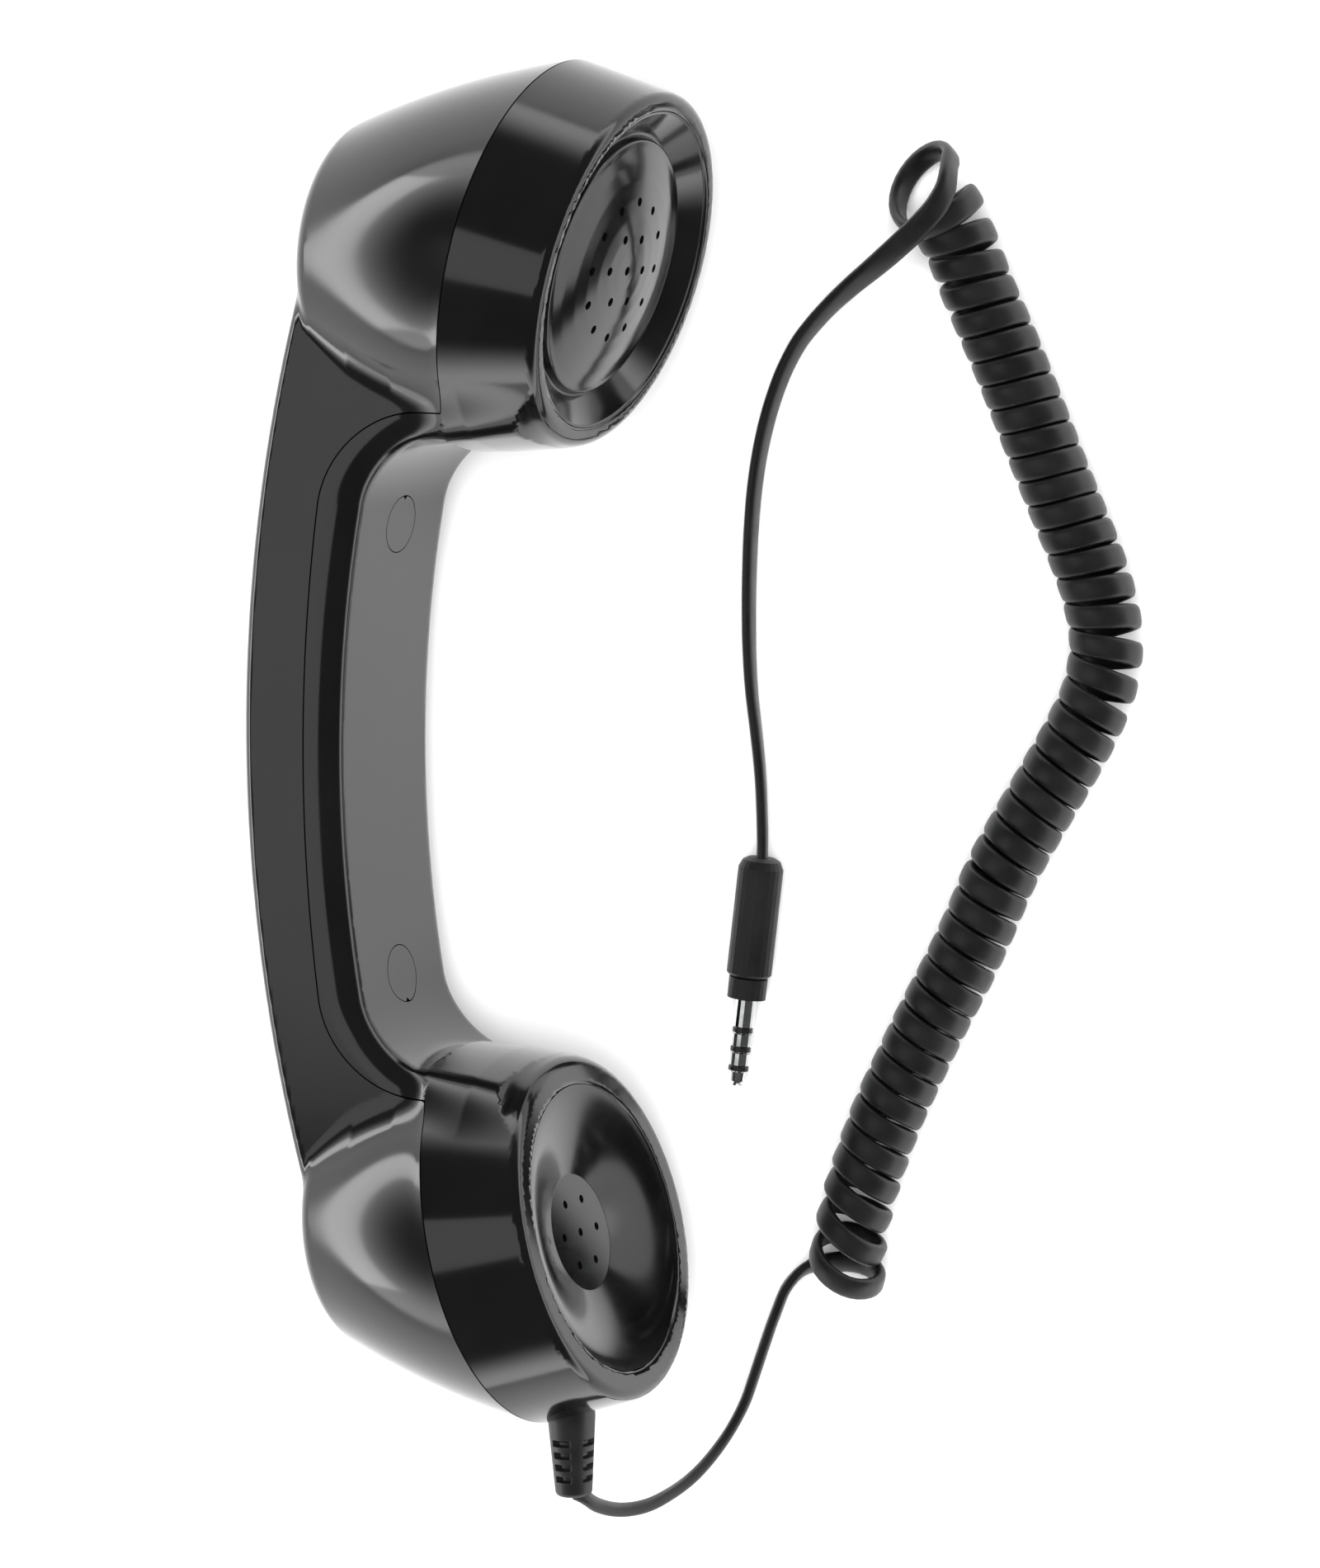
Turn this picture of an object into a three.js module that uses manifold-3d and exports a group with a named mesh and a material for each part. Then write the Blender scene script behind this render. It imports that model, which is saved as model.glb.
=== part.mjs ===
// Retro telephone handset with a flat curly cord and a four-pole 3.5 mm plug.
// Millimetres, +Z up. The handset is modelled in a frame of its own (X depth, towards the cups;
// Y length, towards the earpiece; Z width, from the mid-plane) and then laid on its side.
import * as THREE from 'three';
import { mergeVertices } from 'three/addons/utils/BufferGeometryUtils.js';
import Module from 'manifold-3d';

const wasm = await Module();
wasm.setup();

const rad = THREE.MathUtils.degToRad;

// ---- Driving dimensions -------------------------------------------------------------------
const ROLL = 20; // how far the handset leans back onto its heads as it lies, degrees
const WALL = 2.4; // moulded wall of the shells
const GAP = 0.3; // seam and running gap between neighbours
const FIT = 0.3; // clearance all round a piece that drops into a seat

// Handle
const HANDLE_HALF_WIDTH = 17.6;
const BACK_X = -16.4; // outside of the back at mid-length
const BACK_RADIUS = 269;
const BACK_END_Y = 76; // where the back runs into the heads
const BACK_EDGE = 2; // rounding of the two long back edges
const FRONT_X = 1; // front face at mid-length
const FRONT_RADIUS = 225;
const FRONT_MID_Y = -3;
const SHOULDER_DEPTH = 5.5; // rounded shoulder beside the front face, along X
const SHOULDER_WIDTH = 3.5; // and along Z
const FRONT_FILLET = 9; // between the front face and each drum
const FILLET_END = 0.4; // the fillet's line sinks into the drum here, as a share of the drum's depth
const FILLET_SINK = 5;
const SEAM_X = -4.8; // parting line on the flat sides at mid-length
const SEAM_RADIUS = 300;
const SEAM_FILLET = 15.5;

// Heads: rim centre and tilt, parting plane, and the small flat end behind
const EAR = {
  side: 1, rimX: 46.2, rimY: 77.6, tilt: 15.2, rimRadius: 29.6, seamRadius: 29.8,
  seamDepth: 17.5, outerStretch: 1.03, innerStretch: 1.18,
  backX: -4.9, backY: 80.6, backTilt: 4.3, backRadius: 20.4, bulge: 1.2,
};
const MOUTH = {
  side: -1, rimX: 42.3, rimY: -80.1, tilt: 15.1, rimRadius: 28.8, seamRadius: 29.6,
  seamDepth: 17.5, outerStretch: 1.01, innerStretch: 1.16,
  backX: -5.2, backY: -81.9, backTilt: 4.3, backRadius: 20.2, bulge: 1,
};
const RIM_EDGE = 1.4;
const BACK_CORNER = 3;

// Ear dish: a domed plate in a shallow conical cup
const EAR_BORE_RADIUS = 26.5;
const EAR_DOME_RADIUS = 21.3;
const EAR_DOME_SPHERE = 88;
const EAR_GROOVE_RADIUS = 22;
const EAR_GROOVE_DEPTH = 4;
const EAR_HOLE_RINGS = [[6, 6], [12, 11.4]]; // how many, and on what radius
const EAR_HOLE_RADIUS = 0.75;
const DISH_THICKNESS = 1.8;

// Mouth funnel
const MOUTH_BORE_RADIUS = 24;
const MOUTH_DISC_RADIUS = 9.8;
const MOUTH_DEPTH = 5;
const MOUTH_HOLE_RINGS = [[6, 5.95]];
const MOUTH_HOLE_RADIUS = 0.7;
const HOLE_SIDES = 8;

// Screw covers, screws and their posts
const COVER_RADIUS = 4.75;
const COVER_THICKNESS = 1.4;
const COVER_Y = { ear: 35.3, mouth: -40.1 };
const COVER_NOTCH = 0.45;
const SCREW_HEAD_RADIUS = 2.8;
const SCREW_HEAD_HEIGHT = 1.9;
const SCREW_RADIUS = 1.3;
const SCREW_SEAT_DEPTH = 6; // from the front face down to the underside of the head
const POST_WALL = 1.6;
const PILOT_DEPTH = 8;

// Receiver, microphone and weight
const RECEIVER_RADIUS = 18;
const RECEIVER_HEIGHT = 6.5;
const MAGNET_RADIUS = 8;
const MIC_RADIUS = 4.8;
const MIC_HEIGHT = 5.2;
const MIC_HOLDER_WALL = 1.7;
const WEIGHT_LENGTH = 46;
const WEIGHT_WIDTH = 22;
const WEIGHT_THICKNESS = 5;

// Strain relief
const BOOT_X = 35.7;
const BOOT_TILT = 2; // leans from the handset's length towards the cups, degrees
const BOOT_LENGTH = 13.4;
const BOOT_BASE_RADIUS = 3.9;
const BOOT_TIP_RADIUS = 3;
const BOOT_NECK_RADIUS = 3.3;
const BOOT_FLANGE_RADIUS = 5;
const BOOT_FLANGE = 1.8;
const BOOT_SLOTS = 4;
const BOOT_SINK = 0.8; // how far the base sits into its recess in the drum

// Inner leads: two bundles, routed clear of the posts and the weight (handset frame)
const LEAD_RADIUS = 0.8;
const RECEIVER_LEAD_ROUTE = [
  [26.8, 83.4, 0], [18, 80, 3], [6, 72, 8], [-3, 58, 10.5], [-4.4, 35, 10.5], [-4.6, 0, 10.5],
  [-4.4, -40, 10.5], [-2, -60, 10.5], [8, -78, 8.5], [20, -92, 6], [30, -101, 2.5], [35, -104.2, 1],
];
const MICROPHONE_LEAD_ROUTE = [
  [25.6, -84.6, -1.5], [23.4, -89, -3], [26, -96, -4], [31, -101.5, -3], [34.6, -104, -1.6],
];

// Cord: a flat ribbon. Its routes lie on the table or fall to it (part frame, Z up).
const CORD_WIDTH = 4;
const CORD_SIDES = 8;
const CORD_LEAD = 3; // straight run of cord at each end, so that its cut face is square
const CORD_LOWER_ROUTE = [
  [20, -123.6, 31], [23.5, -124, 26.8], [27.3, -123.3, 22.6], [31, -122.1, 18.2],
  [34.8, -119.9, 13.6], [38.6, -116, 9.4], [41.3, -112, 6.6], [43.6, -107.2, 4.4],
  [46.1, -100, 3], [49.4, -95.4, 3], [53.8, -93, 4.4],
];
const CORD_UPPER_ROUTE = [
  [72.4, 101.6, 6.2], [68.6, 100, 6], [66.2, 95, 5.8], [64.4, 89.6, 5.6], [60.6, 83.4, 4.8],
  [56.9, 79.3, 4], [54, 75.8, 3.2], [49.9, 69.2, 2.4], [47, 61.9, 2.1], [44.1, 48, 2.1],
  [43.2, 34, 2.1], [43.2, 20, 2.1], [43.9, 10, 2.1], [44.8, 2, 2.3], [45.4, -6, 2.9],
];
const COIL_RADIUS = 6.3;
const COIL_SIDES = 12;
const COIL_ROUTE = [
  [59.4, -87.4, 6.4], [61, -80.2, 6.4], [62.4, -72.4, 6.4], [64.9, -64.6, 6.4],
  [67.6, -57.3, 6.4], [70.9, -50, 6.4], [75.1, -41.1, 6.4], [79.4, -32.6, 6.4], [82.8, -25, 6.4],
  [86.1, -17, 6.4], [90.5, -8.7, 6.4], [95.5, 0, 6.4], [99.4, 7.2, 6.4], [102.4, 14.4, 6.4],
  [103.5, 22.3, 6.4], [102.2, 30.2, 6.4], [99.6, 37.8, 6.4], [96.6, 45, 6.4], [93.6, 52.4, 6.4],
  [90.7, 59.8, 6.4], [87.7, 67.3, 6.4], [84.6, 74.6, 6.4], [81.4, 81.9, 6.4], [78.8, 88.5, 6.4],
  [76.4, 95.4, 6.4],
];

// Plug: four contacts on a 3.5 mm pin, stepped along the pin from the end of the collar
const PLUG_TAIL = [45.6, -15, 3.95];
const PLUG_POINTS_AT = [41.25, -54.3, 3.95];
const PLUG_BARREL_RADIUS = 3.85;
const PLUG_BARREL_LENGTH = 20.4;
const PLUG_COLLAR_RADIUS = 3.3;
const PLUG_COLLAR_LENGTH = 3.5;
const PIN_RADIUS = 1.75;
const PIN_CORE_RADIUS = 0.8;
const PIN_SLEEVE = 4.6;
const PIN_RING = 2;
const PIN_INSULATOR = 0.7;
const PIN_TIP = 3.1;

const SEGMENTS = 40; // facets round the heads

// ---- Solids ---------------------------------------------------------------------------------
function toSolid(geometry) {
  const bare = geometry.index ? geometry.toNonIndexed() : geometry.clone();
  for (const name of Object.keys(bare.attributes)) {
    if (name !== 'position') bare.deleteAttribute(name);
  }
  const merged = mergeVertices(bare, 1e-4);
  const index = merged.index.array;
  const kept = [];
  for (let i = 0; i < index.length; i += 3) {
    const [a, b, c] = [index[i], index[i + 1], index[i + 2]];
    if (a !== b && b !== c && c !== a) kept.push(a, b, c);
  }
  const mesh = new wasm.Mesh({
    numProp: 3,
    vertProperties: Float32Array.from(merged.attributes.position.array),
    triVerts: Uint32Array.from(kept),
  });
  return new wasm.Manifold(mesh);
}

function toGeometry(solid) {
  const mesh = solid.getMesh();
  const geometry = new THREE.BufferGeometry();
  geometry.setAttribute('position', new THREE.BufferAttribute(mesh.vertProperties, 3));
  geometry.setIndex(new THREE.BufferAttribute(mesh.triVerts, 1));
  const flat = geometry.toNonIndexed();
  flat.computeVertexNormals();
  return flat;
}

function union(solids) {
  return solids.reduce((sum, solid) => sum.add(solid));
}

function cut(solid, tools) {
  return tools.reduce((rest, tool) => rest.subtract(tool), solid);
}

// A solid of revolution about +Y from [radius, height] pairs that start and end on the axis,
// or close on themselves.
function revolve(profile, segments = 20) {
  const area = profile.reduce((sum, [r, y], i) => {
    const [rn, yn] = profile[(i + 1) % profile.length];
    return sum + r * yn - rn * y;
  }, 0);
  const ordered = area > 0 ? profile : [...profile].reverse();
  const points = ordered.map(([r, y]) => new THREE.Vector2(r, y));
  return new THREE.LatheGeometry(points, segments);
}

function disc(radius, y0, y1, segments = 20) {
  return revolve([[0, y0], [radius, y0], [radius, y1], [0, y1]], segments);
}

function ring(inner, outer, y0, y1, segments = 20) {
  return revolve([[inner, y0], [outer, y0], [outer, y1], [inner, y1], [inner, y0]], segments);
}

// Moves a solid of revolution so that its +Y runs along direction from point.
function place(geometry, point, direction) {
  const turn = new THREE.Quaternion().setFromUnitVectors(new THREE.Vector3(0, 1, 0), direction);
  return geometry.applyQuaternion(turn).translate(point.x, point.y, point.z);
}

// ---- Side outline of the handle --------------------------------------------------------------
function bowX(y, midX, midY, radius) {
  return midX + radius - Math.sqrt(radius * radius - (y - midY) ** 2);
}

function bow(fromY, toY, midX, midY, radius, steps) {
  return Array.from({ length: steps + 1 }, (_, i) => {
    const y = fromY + ((toY - fromY) * i) / steps;
    return new THREE.Vector2(bowX(y, midX, midY, radius), y);
  });
}

// Replaces the corner b of the path a-b-c by an arc.
function fillet(a, b, c, radius, steps = 8) {
  const toA = a.clone().sub(b).normalize();
  const toC = c.clone().sub(b).normalize();
  const half = Math.acos(toA.dot(toC)) / 2;
  const centre = toA.clone().add(toC).normalize().multiplyScalar(radius / Math.sin(half)).add(b);
  const start = b.clone().addScaledVector(toA, radius / Math.tan(half)).sub(centre);
  const turn = Math.PI - 2 * half;
  const sign = Math.sign(toA.cross(toC)) || 1;
  return Array.from({ length: steps + 1 }, (_, i) => {
    const angle = (-sign * turn * i) / steps;
    return start.clone().rotateAround(new THREE.Vector2(), angle).add(centre);
  });
}

// ---- Heads ----------------------------------------------------------------------------------
// Unit vectors of a section plane: forward along the cup's axis, and outward away from the grip.
function sectionAxes(head, tilt) {
  const angle = rad(tilt);
  return {
    forward: new THREE.Vector3(Math.cos(angle), -head.side * Math.sin(angle), 0),
    outward: new THREE.Vector3(Math.sin(angle), head.side * Math.cos(angle), 0),
  };
}

function rimCentre(head) {
  return new THREE.Vector3(head.rimX, head.rimY, 0);
}

// A point on the cup's axis, at a depth behind the rim plane.
function onAxis(head, depth) {
  return rimCentre(head).addScaledVector(sectionAxes(head, head.tilt).forward, -depth);
}

// Section at station t: 0 is the rim, 1 the parting plane and 2 the flat end behind.
function section(head, t) {
  const seam = onAxis(head, head.seamDepth);
  if (t <= 1) {
    return {
      centre: rimCentre(head).lerp(seam, t),
      outward: sectionAxes(head, head.tilt).outward,
      radius: THREE.MathUtils.lerp(head.rimRadius, head.seamRadius, t),
      outer: THREE.MathUtils.lerp(1, head.outerStretch, t),
      inner: THREE.MathUtils.lerp(1, head.innerStretch, t),
    };
  }
  const s = t - 1;
  const back = new THREE.Vector3(head.backX, head.backY, 0);
  return {
    centre: seam.lerp(back, s),
    outward: sectionAxes(head, THREE.MathUtils.lerp(head.tilt, head.backTilt, s)).outward,
    radius: THREE.MathUtils.lerp(head.seamRadius, head.backRadius, s)
      + head.bulge * Math.sin(Math.PI * s),
    outer: THREE.MathUtils.lerp(head.outerStretch, 1, s),
    inner: THREE.MathUtils.lerp(head.innerStretch, 1, Math.sqrt(s)),
  };
}

function backLength(head) {
  return onAxis(head, head.seamDepth).distanceTo(new THREE.Vector3(head.backX, head.backY, 0));
}

// The outside of a head, or the same shape brought in by inset for the hollow inside it.
function headGeometry(head, inset = 0) {
  const rimStation = inset / head.seamDepth;
  const backStation = 2 - inset / backLength(head);
  const rimEdge = RIM_EDGE / head.seamDepth;
  const backEdge = BACK_CORNER / backLength(head);
  const stations = [
    [rimStation, RIM_EDGE],
    [rimStation + rimEdge * 0.3, RIM_EDGE * 0.3],
    [rimStation + rimEdge, 0],
    [0.55, 0],
    [1, 0],
    [1.16, 0],
    [1.34, 0],
    [1.52, 0],
    [1.7, 0],
    [backStation - backEdge, 0],
    [backStation - backEdge * 0.5, BACK_CORNER * 0.2],
    [backStation - backEdge * 0.12, BACK_CORNER * 0.6],
    [backStation, BACK_CORNER],
  ];
  const profile = stations.map(([t, trim]) => [section(head, t).radius - inset - trim, t]);
  const geometry = revolve([[0, stations[0][0]], ...profile, [0, backStation]], SEGMENTS);
  const position = geometry.attributes.position;
  for (let i = 0; i < position.count; i += 1) {
    const across = position.getX(i);
    const width = position.getZ(i);
    const { centre, outward, outer, inner } = section(head, position.getY(i));
    const stretch = across > 0 ? outer : inner;
    const point = centre.addScaledVector(outward, across * stretch);
    position.setXYZ(i, point.x, point.y, width * head.side);
  }
  return geometry;
}

// The point of the section at station t that is furthest out (way 1) or in (way -1).
function drumPoint(head, t, way, sink = 0) {
  const { centre, outward, radius, outer, inner } = section(head, t);
  const reach = radius * (way > 0 ? outer : inner) - sink;
  const point = centre.addScaledVector(outward, way * reach);
  return new THREE.Vector2(point.x, point.y);
}

// ---- Handle ---------------------------------------------------------------------------------
// Where the grip's fillet has run into a drum.
function sunkEnd(head) {
  return drumPoint(head, FILLET_END, -1, FILLET_SINK);
}

// The front of the grip with its two drum fillets, from the ear drum down to the mouth drum.
function frontLine() {
  const earInside = drumPoint(EAR, 1, -1);
  const mouthInside = drumPoint(MOUTH, 1, -1);
  const earCorner = new THREE.Vector2(bowX(earInside.y, FRONT_X, FRONT_MID_Y, FRONT_RADIUS),
    earInside.y);
  const mouthCorner = new THREE.Vector2(bowX(mouthInside.y, FRONT_X, FRONT_MID_Y, FRONT_RADIUS),
    mouthInside.y);
  const earBow = bow(earCorner.y, FRONT_MID_Y, FRONT_X, FRONT_MID_Y, FRONT_RADIUS, 12);
  const mouthBow = bow(FRONT_MID_Y, mouthCorner.y, FRONT_X, FRONT_MID_Y, FRONT_RADIUS, 12);
  const earEnd = sunkEnd(EAR);
  const mouthEnd = sunkEnd(MOUTH);
  const earFillet = fillet(earEnd, earCorner, earBow[3], FRONT_FILLET);
  const mouthFillet = fillet(mouthBow[9], mouthCorner, mouthEnd, FRONT_FILLET);
  const earStart = earFillet[earFillet.length - 1].y;
  const mouthStart = mouthFillet[0].y;
  const middle = [...earBow, ...mouthBow.slice(1)];
  return [
    earEnd,
    ...earFillet,
    ...middle.filter((p) => p.y < earStart - 1 && p.y > mouthStart + 1),
    ...mouthFillet,
    mouthEnd,
  ];
}

// The outline's closing points inside the two heads.
function insideHeads() {
  const ear = section(EAR, 1.1).centre;
  const mouth = section(MOUTH, 1.1).centre;
  return { ear: new THREE.Vector2(ear.x, ear.y), mouth: new THREE.Vector2(mouth.x, mouth.y) };
}

function backLine() {
  return bow(-BACK_END_Y, BACK_END_Y, BACK_X, 0, BACK_RADIUS, 28);
}

function prism(points, halfWidth, edgeDepth, edgeWidth, inset) {
  const shape = new THREE.Shape(points);
  const flat = halfWidth - inset - edgeWidth;
  const geometry = new THREE.ExtrudeGeometry(shape, {
    depth: 2 * flat,
    bevelEnabled: true,
    bevelThickness: edgeWidth,
    bevelSize: edgeDepth,
    bevelOffset: -edgeDepth - inset,
    bevelSegments: 4,
    curveSegments: 1,
  });
  return toSolid(geometry.translate(0, 0, -flat));
}

// The handle is where a prism with the back's edges meets one with the front's shoulders.
function handleSolid(inset = 0) {
  const inside = insideHeads();
  const reach = 2 * HANDLE_HALF_WIDTH;
  const front = frontLine();
  const backLimit = BACK_X - reach;
  const backPoints = [
    ...backLine(),
    inside.ear,
    new THREE.Vector2(inside.ear.x + reach, inside.ear.y),
    new THREE.Vector2(inside.mouth.x + reach, inside.mouth.y),
    inside.mouth,
  ];
  const frontPoints = [
    new THREE.Vector2(backLimit, inside.mouth.y),
    inside.mouth,
    ...[...front].reverse(),
    inside.ear,
    new THREE.Vector2(backLimit, inside.ear.y),
  ];
  const backPrism = prism(backPoints, HANDLE_HALF_WIDTH, BACK_EDGE, BACK_EDGE, inset);
  const frontPrism = prism(frontPoints, HANDLE_HALF_WIDTH, SHOULDER_DEPTH, SHOULDER_WIDTH, inset);
  return backPrism.intersect(frontPrism);
}

function bodySolid(inset = 0) {
  return union([
    handleSolid(inset),
    toSolid(headGeometry(EAR, inset)),
    toSolid(headGeometry(MOUTH, inset)),
  ]);
}

// ---- Parting line -----------------------------------------------------------------------------
// Everything in front of the seam, seen from the side, moved forward by shift.
function frontRegion(shift) {
  const far = 3 * HANDLE_HALF_WIDTH;
  const cornerOf = (head) => {
    const { outward } = sectionAxes(head, head.tilt);
    const seam = onAxis(head, head.seamDepth);
    const reach = Math.sqrt(head.seamRadius ** 2 - HANDLE_HALF_WIDTH ** 2) * head.innerStretch;
    const inner = seam.clone().addScaledVector(outward, -reach);
    const outer = seam.clone().addScaledVector(outward, far);
    return [new THREE.Vector2(outer.x, outer.y), new THREE.Vector2(inner.x, inner.y)];
  };
  const [earOuter, earInner] = cornerOf(EAR);
  const [mouthOuter, mouthInner] = cornerOf(MOUTH);
  const earBend = new THREE.Vector2(bowX(earInner.y, SEAM_X, FRONT_MID_Y, SEAM_RADIUS), earInner.y);
  const mouthBend = new THREE.Vector2(
    bowX(mouthInner.y, SEAM_X, FRONT_MID_Y, SEAM_RADIUS), mouthInner.y);
  const middle = bow(earBend.y - SEAM_FILLET, mouthBend.y + SEAM_FILLET, SEAM_X, FRONT_MID_Y,
    SEAM_RADIUS, 14);
  const line = [
    earOuter,
    earInner,
    ...fillet(earInner, earBend, middle[2], SEAM_FILLET, 8),
    ...middle.slice(1, -1),
    ...fillet(middle[12], mouthBend, mouthInner, SEAM_FILLET, 8),
    mouthInner,
    mouthOuter,
  ];
  const points = [
    ...line,
    new THREE.Vector2(EAR.rimX + far, mouthOuter.y),
    new THREE.Vector2(EAR.rimX + far, earOuter.y),
  ];
  const shape = new THREE.Shape(points);
  const geometry = new THREE.ExtrudeGeometry(shape, { depth: 2 * far, bevelEnabled: false });
  return toSolid(geometry.translate(shift, 0, -far));
}
// ---- Places along the handle and on the drums --------------------------------------------------
const SEAT = {};
for (const [name, y] of Object.entries(COVER_Y)) {
  const slope = (y - FRONT_MID_Y) / FRONT_RADIUS;
  SEAT[name] = {
    point: new THREE.Vector3(bowX(y, FRONT_X, FRONT_MID_Y, FRONT_RADIUS), y, 0),
    out: new THREE.Vector3(1, -slope, 0).normalize(),
  };
}

function bootPlace() {
  const rim = drumPoint(MOUTH, 0, 1);
  const seam = drumPoint(MOUTH, 1, 1);
  const share = (rim.x - BOOT_X) / (rim.x - seam.x);
  const base = rim.lerp(seam, share);
  const tilt = rad(BOOT_TILT);
  return {
    point: new THREE.Vector3(base.x, base.y, 0),
    out: new THREE.Vector3(Math.sin(tilt), -Math.cos(tilt), 0),
  };
}
const BOOT = bootPlace();

function onCup(geometry, head) {
  return place(geometry, rimCentre(head), sectionAxes(head, head.tilt).forward);
}

function onSeat(geometry, seat) {
  return place(geometry, seat.point, seat.out);
}

// ---- Shells -----------------------------------------------------------------------------------
const POST_TOP = -(SCREW_SEAT_DEPTH + POST_WALL);

function frontPost(seat) {
  return toSolid(onSeat(disc(COVER_RADIUS + FIT + POST_WALL, POST_TOP, -1), seat));
}

function coverSeatCut(seat) {
  const hole = SCREW_RADIUS + FIT;
  const seatRadius = COVER_RADIUS + FIT;
  const profile = [
    [0, POST_TOP - 1], [hole, POST_TOP - 1], [hole, -SCREW_SEAT_DEPTH],
    [seatRadius, -SCREW_SEAT_DEPTH], [seatRadius, 2], [0, 2],
  ];
  return toSolid(onSeat(revolve(profile), seat));
}

function backPost(seat) {
  return toSolid(onSeat(disc(SCREW_RADIUS + FIT + POST_WALL, -40, POST_TOP - GAP), seat));
}

function pilotCut(seat) {
  return toSolid(onSeat(disc(SCREW_RADIUS + FIT, POST_TOP - PILOT_DEPTH, POST_TOP + 1), seat));
}

function bootCut() {
  const profile = [
    [0, -3 * WALL], [BOOT_NECK_RADIUS + FIT, -3 * WALL], [BOOT_NECK_RADIUS + FIT, -BOOT_SINK - FIT],
    [BOOT_BASE_RADIUS + FIT, -BOOT_SINK - FIT], [BOOT_BASE_RADIUS + FIT, 4], [0, 4],
  ];
  return toSolid(place(revolve(profile), BOOT.point, BOOT.out));
}

function boreCut(head, radius) {
  return toSolid(onCup(disc(radius, -2 * WALL, WALL, SEGMENTS), head));
}

const outside = bodySolid();
const hollow = bodySolid(WALL);
const seats = Object.values(SEAT);

function frontShell() {
  const skin = outside.subtract(hollow).intersect(frontRegion(GAP / 2));
  const posts = seats.map((seat) => frontPost(seat).intersect(outside));
  return cut(union([skin, ...posts]), [
    ...seats.map(coverSeatCut),
    boreCut(EAR, EAR_BORE_RADIUS),
    boreCut(MOUTH, MOUTH_BORE_RADIUS),
    bootCut(),
  ]);
}

function backShell() {
  const skin = outside.subtract(hollow).subtract(frontRegion(-GAP / 2));
  const posts = seats.map((seat) => backPost(seat).intersect(outside));
  return cut(union([skin, ...posts]), [...seats.map(pilotCut), bootCut()]);
}

// ---- Cups -------------------------------------------------------------------------------------
function holes(rings, radius, depth) {
  const cutters = [disc(radius, -depth, 1, HOLE_SIDES)];
  for (const [count, pitchRadius] of rings) {
    for (let i = 0; i < count; i += 1) {
      const angle = (2 * Math.PI * i) / count;
      const at = new THREE.Vector3(Math.cos(angle), 0, Math.sin(angle)).multiplyScalar(pitchRadius);
      cutters.push(disc(radius, -depth, 1, HOLE_SIDES).translate(at.x, 0, at.z));
    }
  }
  return cutters.map(toSolid);
}

function domeHeight(radius) {
  return Math.sqrt(EAR_DOME_SPHERE ** 2 - radius ** 2) - EAR_DOME_SPHERE;
}

function earDish() {
  const dome = [0, 0.25, 0.5, 0.75, 0.94].map((share) => {
    const radius = share * EAR_DOME_RADIUS;
    return [radius, domeHeight(radius)];
  });
  const underside = dome.slice(0, -1).reverse().map(([r, y]) => [r, y - DISH_THICKNESS]);
  const outerRadius = EAR_BORE_RADIUS - FIT;
  const profile = [
    ...dome,
    [EAR_DOME_RADIUS, domeHeight(EAR_DOME_RADIUS) - 0.5],
    [EAR_GROOVE_RADIUS, -EAR_GROOVE_DEPTH],
    [outerRadius, -0.4],
    [outerRadius, -DISH_THICKNESS - 1.2],
    [EAR_GROOVE_RADIUS, -EAR_GROOVE_DEPTH - DISH_THICKNESS],
    ...underside,
  ];
  const plate = toSolid(revolve(profile, SEGMENTS));
  return cut(plate, holes(EAR_HOLE_RINGS, EAR_HOLE_RADIUS, 3 * DISH_THICKNESS));
}

// Depth of the mouth funnel at a radius: steep by the flat disc, easing out to the rim.
function funnelHeight(radius) {
  const outerRadius = MOUTH_BORE_RADIUS - FIT;
  const share = (outerRadius - radius) / (outerRadius - MOUTH_DISC_RADIUS);
  return -0.3 - (MOUTH_DEPTH - 0.3) * share ** 1.25;
}

function mouthFunnel() {
  const outerRadius = MOUTH_BORE_RADIUS - FIT;
  const bell = [0, 0.2, 0.4, 0.6, 0.8, 1].map((share) => {
    const radius = THREE.MathUtils.lerp(MOUTH_DISC_RADIUS, outerRadius, share);
    return [radius, funnelHeight(radius)];
  });
  const underside = [...bell].reverse().map(([r, y]) => [r, y - DISH_THICKNESS]);
  const profile = [[0, -MOUTH_DEPTH], ...bell, ...underside, [0, -MOUTH_DEPTH - DISH_THICKNESS]];
  const plate = toSolid(revolve(profile, SEGMENTS));
  const bores = holes(MOUTH_HOLE_RINGS, MOUTH_HOLE_RADIUS, MOUTH_DEPTH + 3);
  return cut(plate, bores);
}

// ---- Screws and covers --------------------------------------------------------------------------
function screwCover(side) {
  const plate = toSolid(disc(COVER_RADIUS, -COVER_THICKNESS, 0, 40));
  const notch = disc(COVER_NOTCH, -COVER_THICKNESS - 1, 1, 12);
  const angle = side * rad(80);
  notch.translate(COVER_RADIUS * Math.sin(angle), 0, COVER_RADIUS * Math.cos(angle));
  return plate.subtract(toSolid(notch));
}

function screw() {
  const under = -SCREW_SEAT_DEPTH + 0.05;
  const top = under + SCREW_HEAD_HEIGHT;
  const tip = POST_TOP - PILOT_DEPTH + 0.6;
  const body = toSolid(revolve([
    [0, tip], [SCREW_RADIUS * 0.6, tip], [SCREW_RADIUS, tip + 1], [SCREW_RADIUS, under],
    [SCREW_HEAD_RADIUS, under], [SCREW_HEAD_RADIUS, top - 0.6], [SCREW_HEAD_RADIUS * 0.7, top],
    [0, top],
  ], 20));
  const slot = new THREE.BoxGeometry(SCREW_HEAD_RADIUS * 1.2, 1.8, 0.7);
  const crossed = slot.clone().rotateY(Math.PI / 2);
  return cut(body, [slot, crossed].map((bar) => toSolid(bar.translate(0, top, 0))));
}

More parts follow.
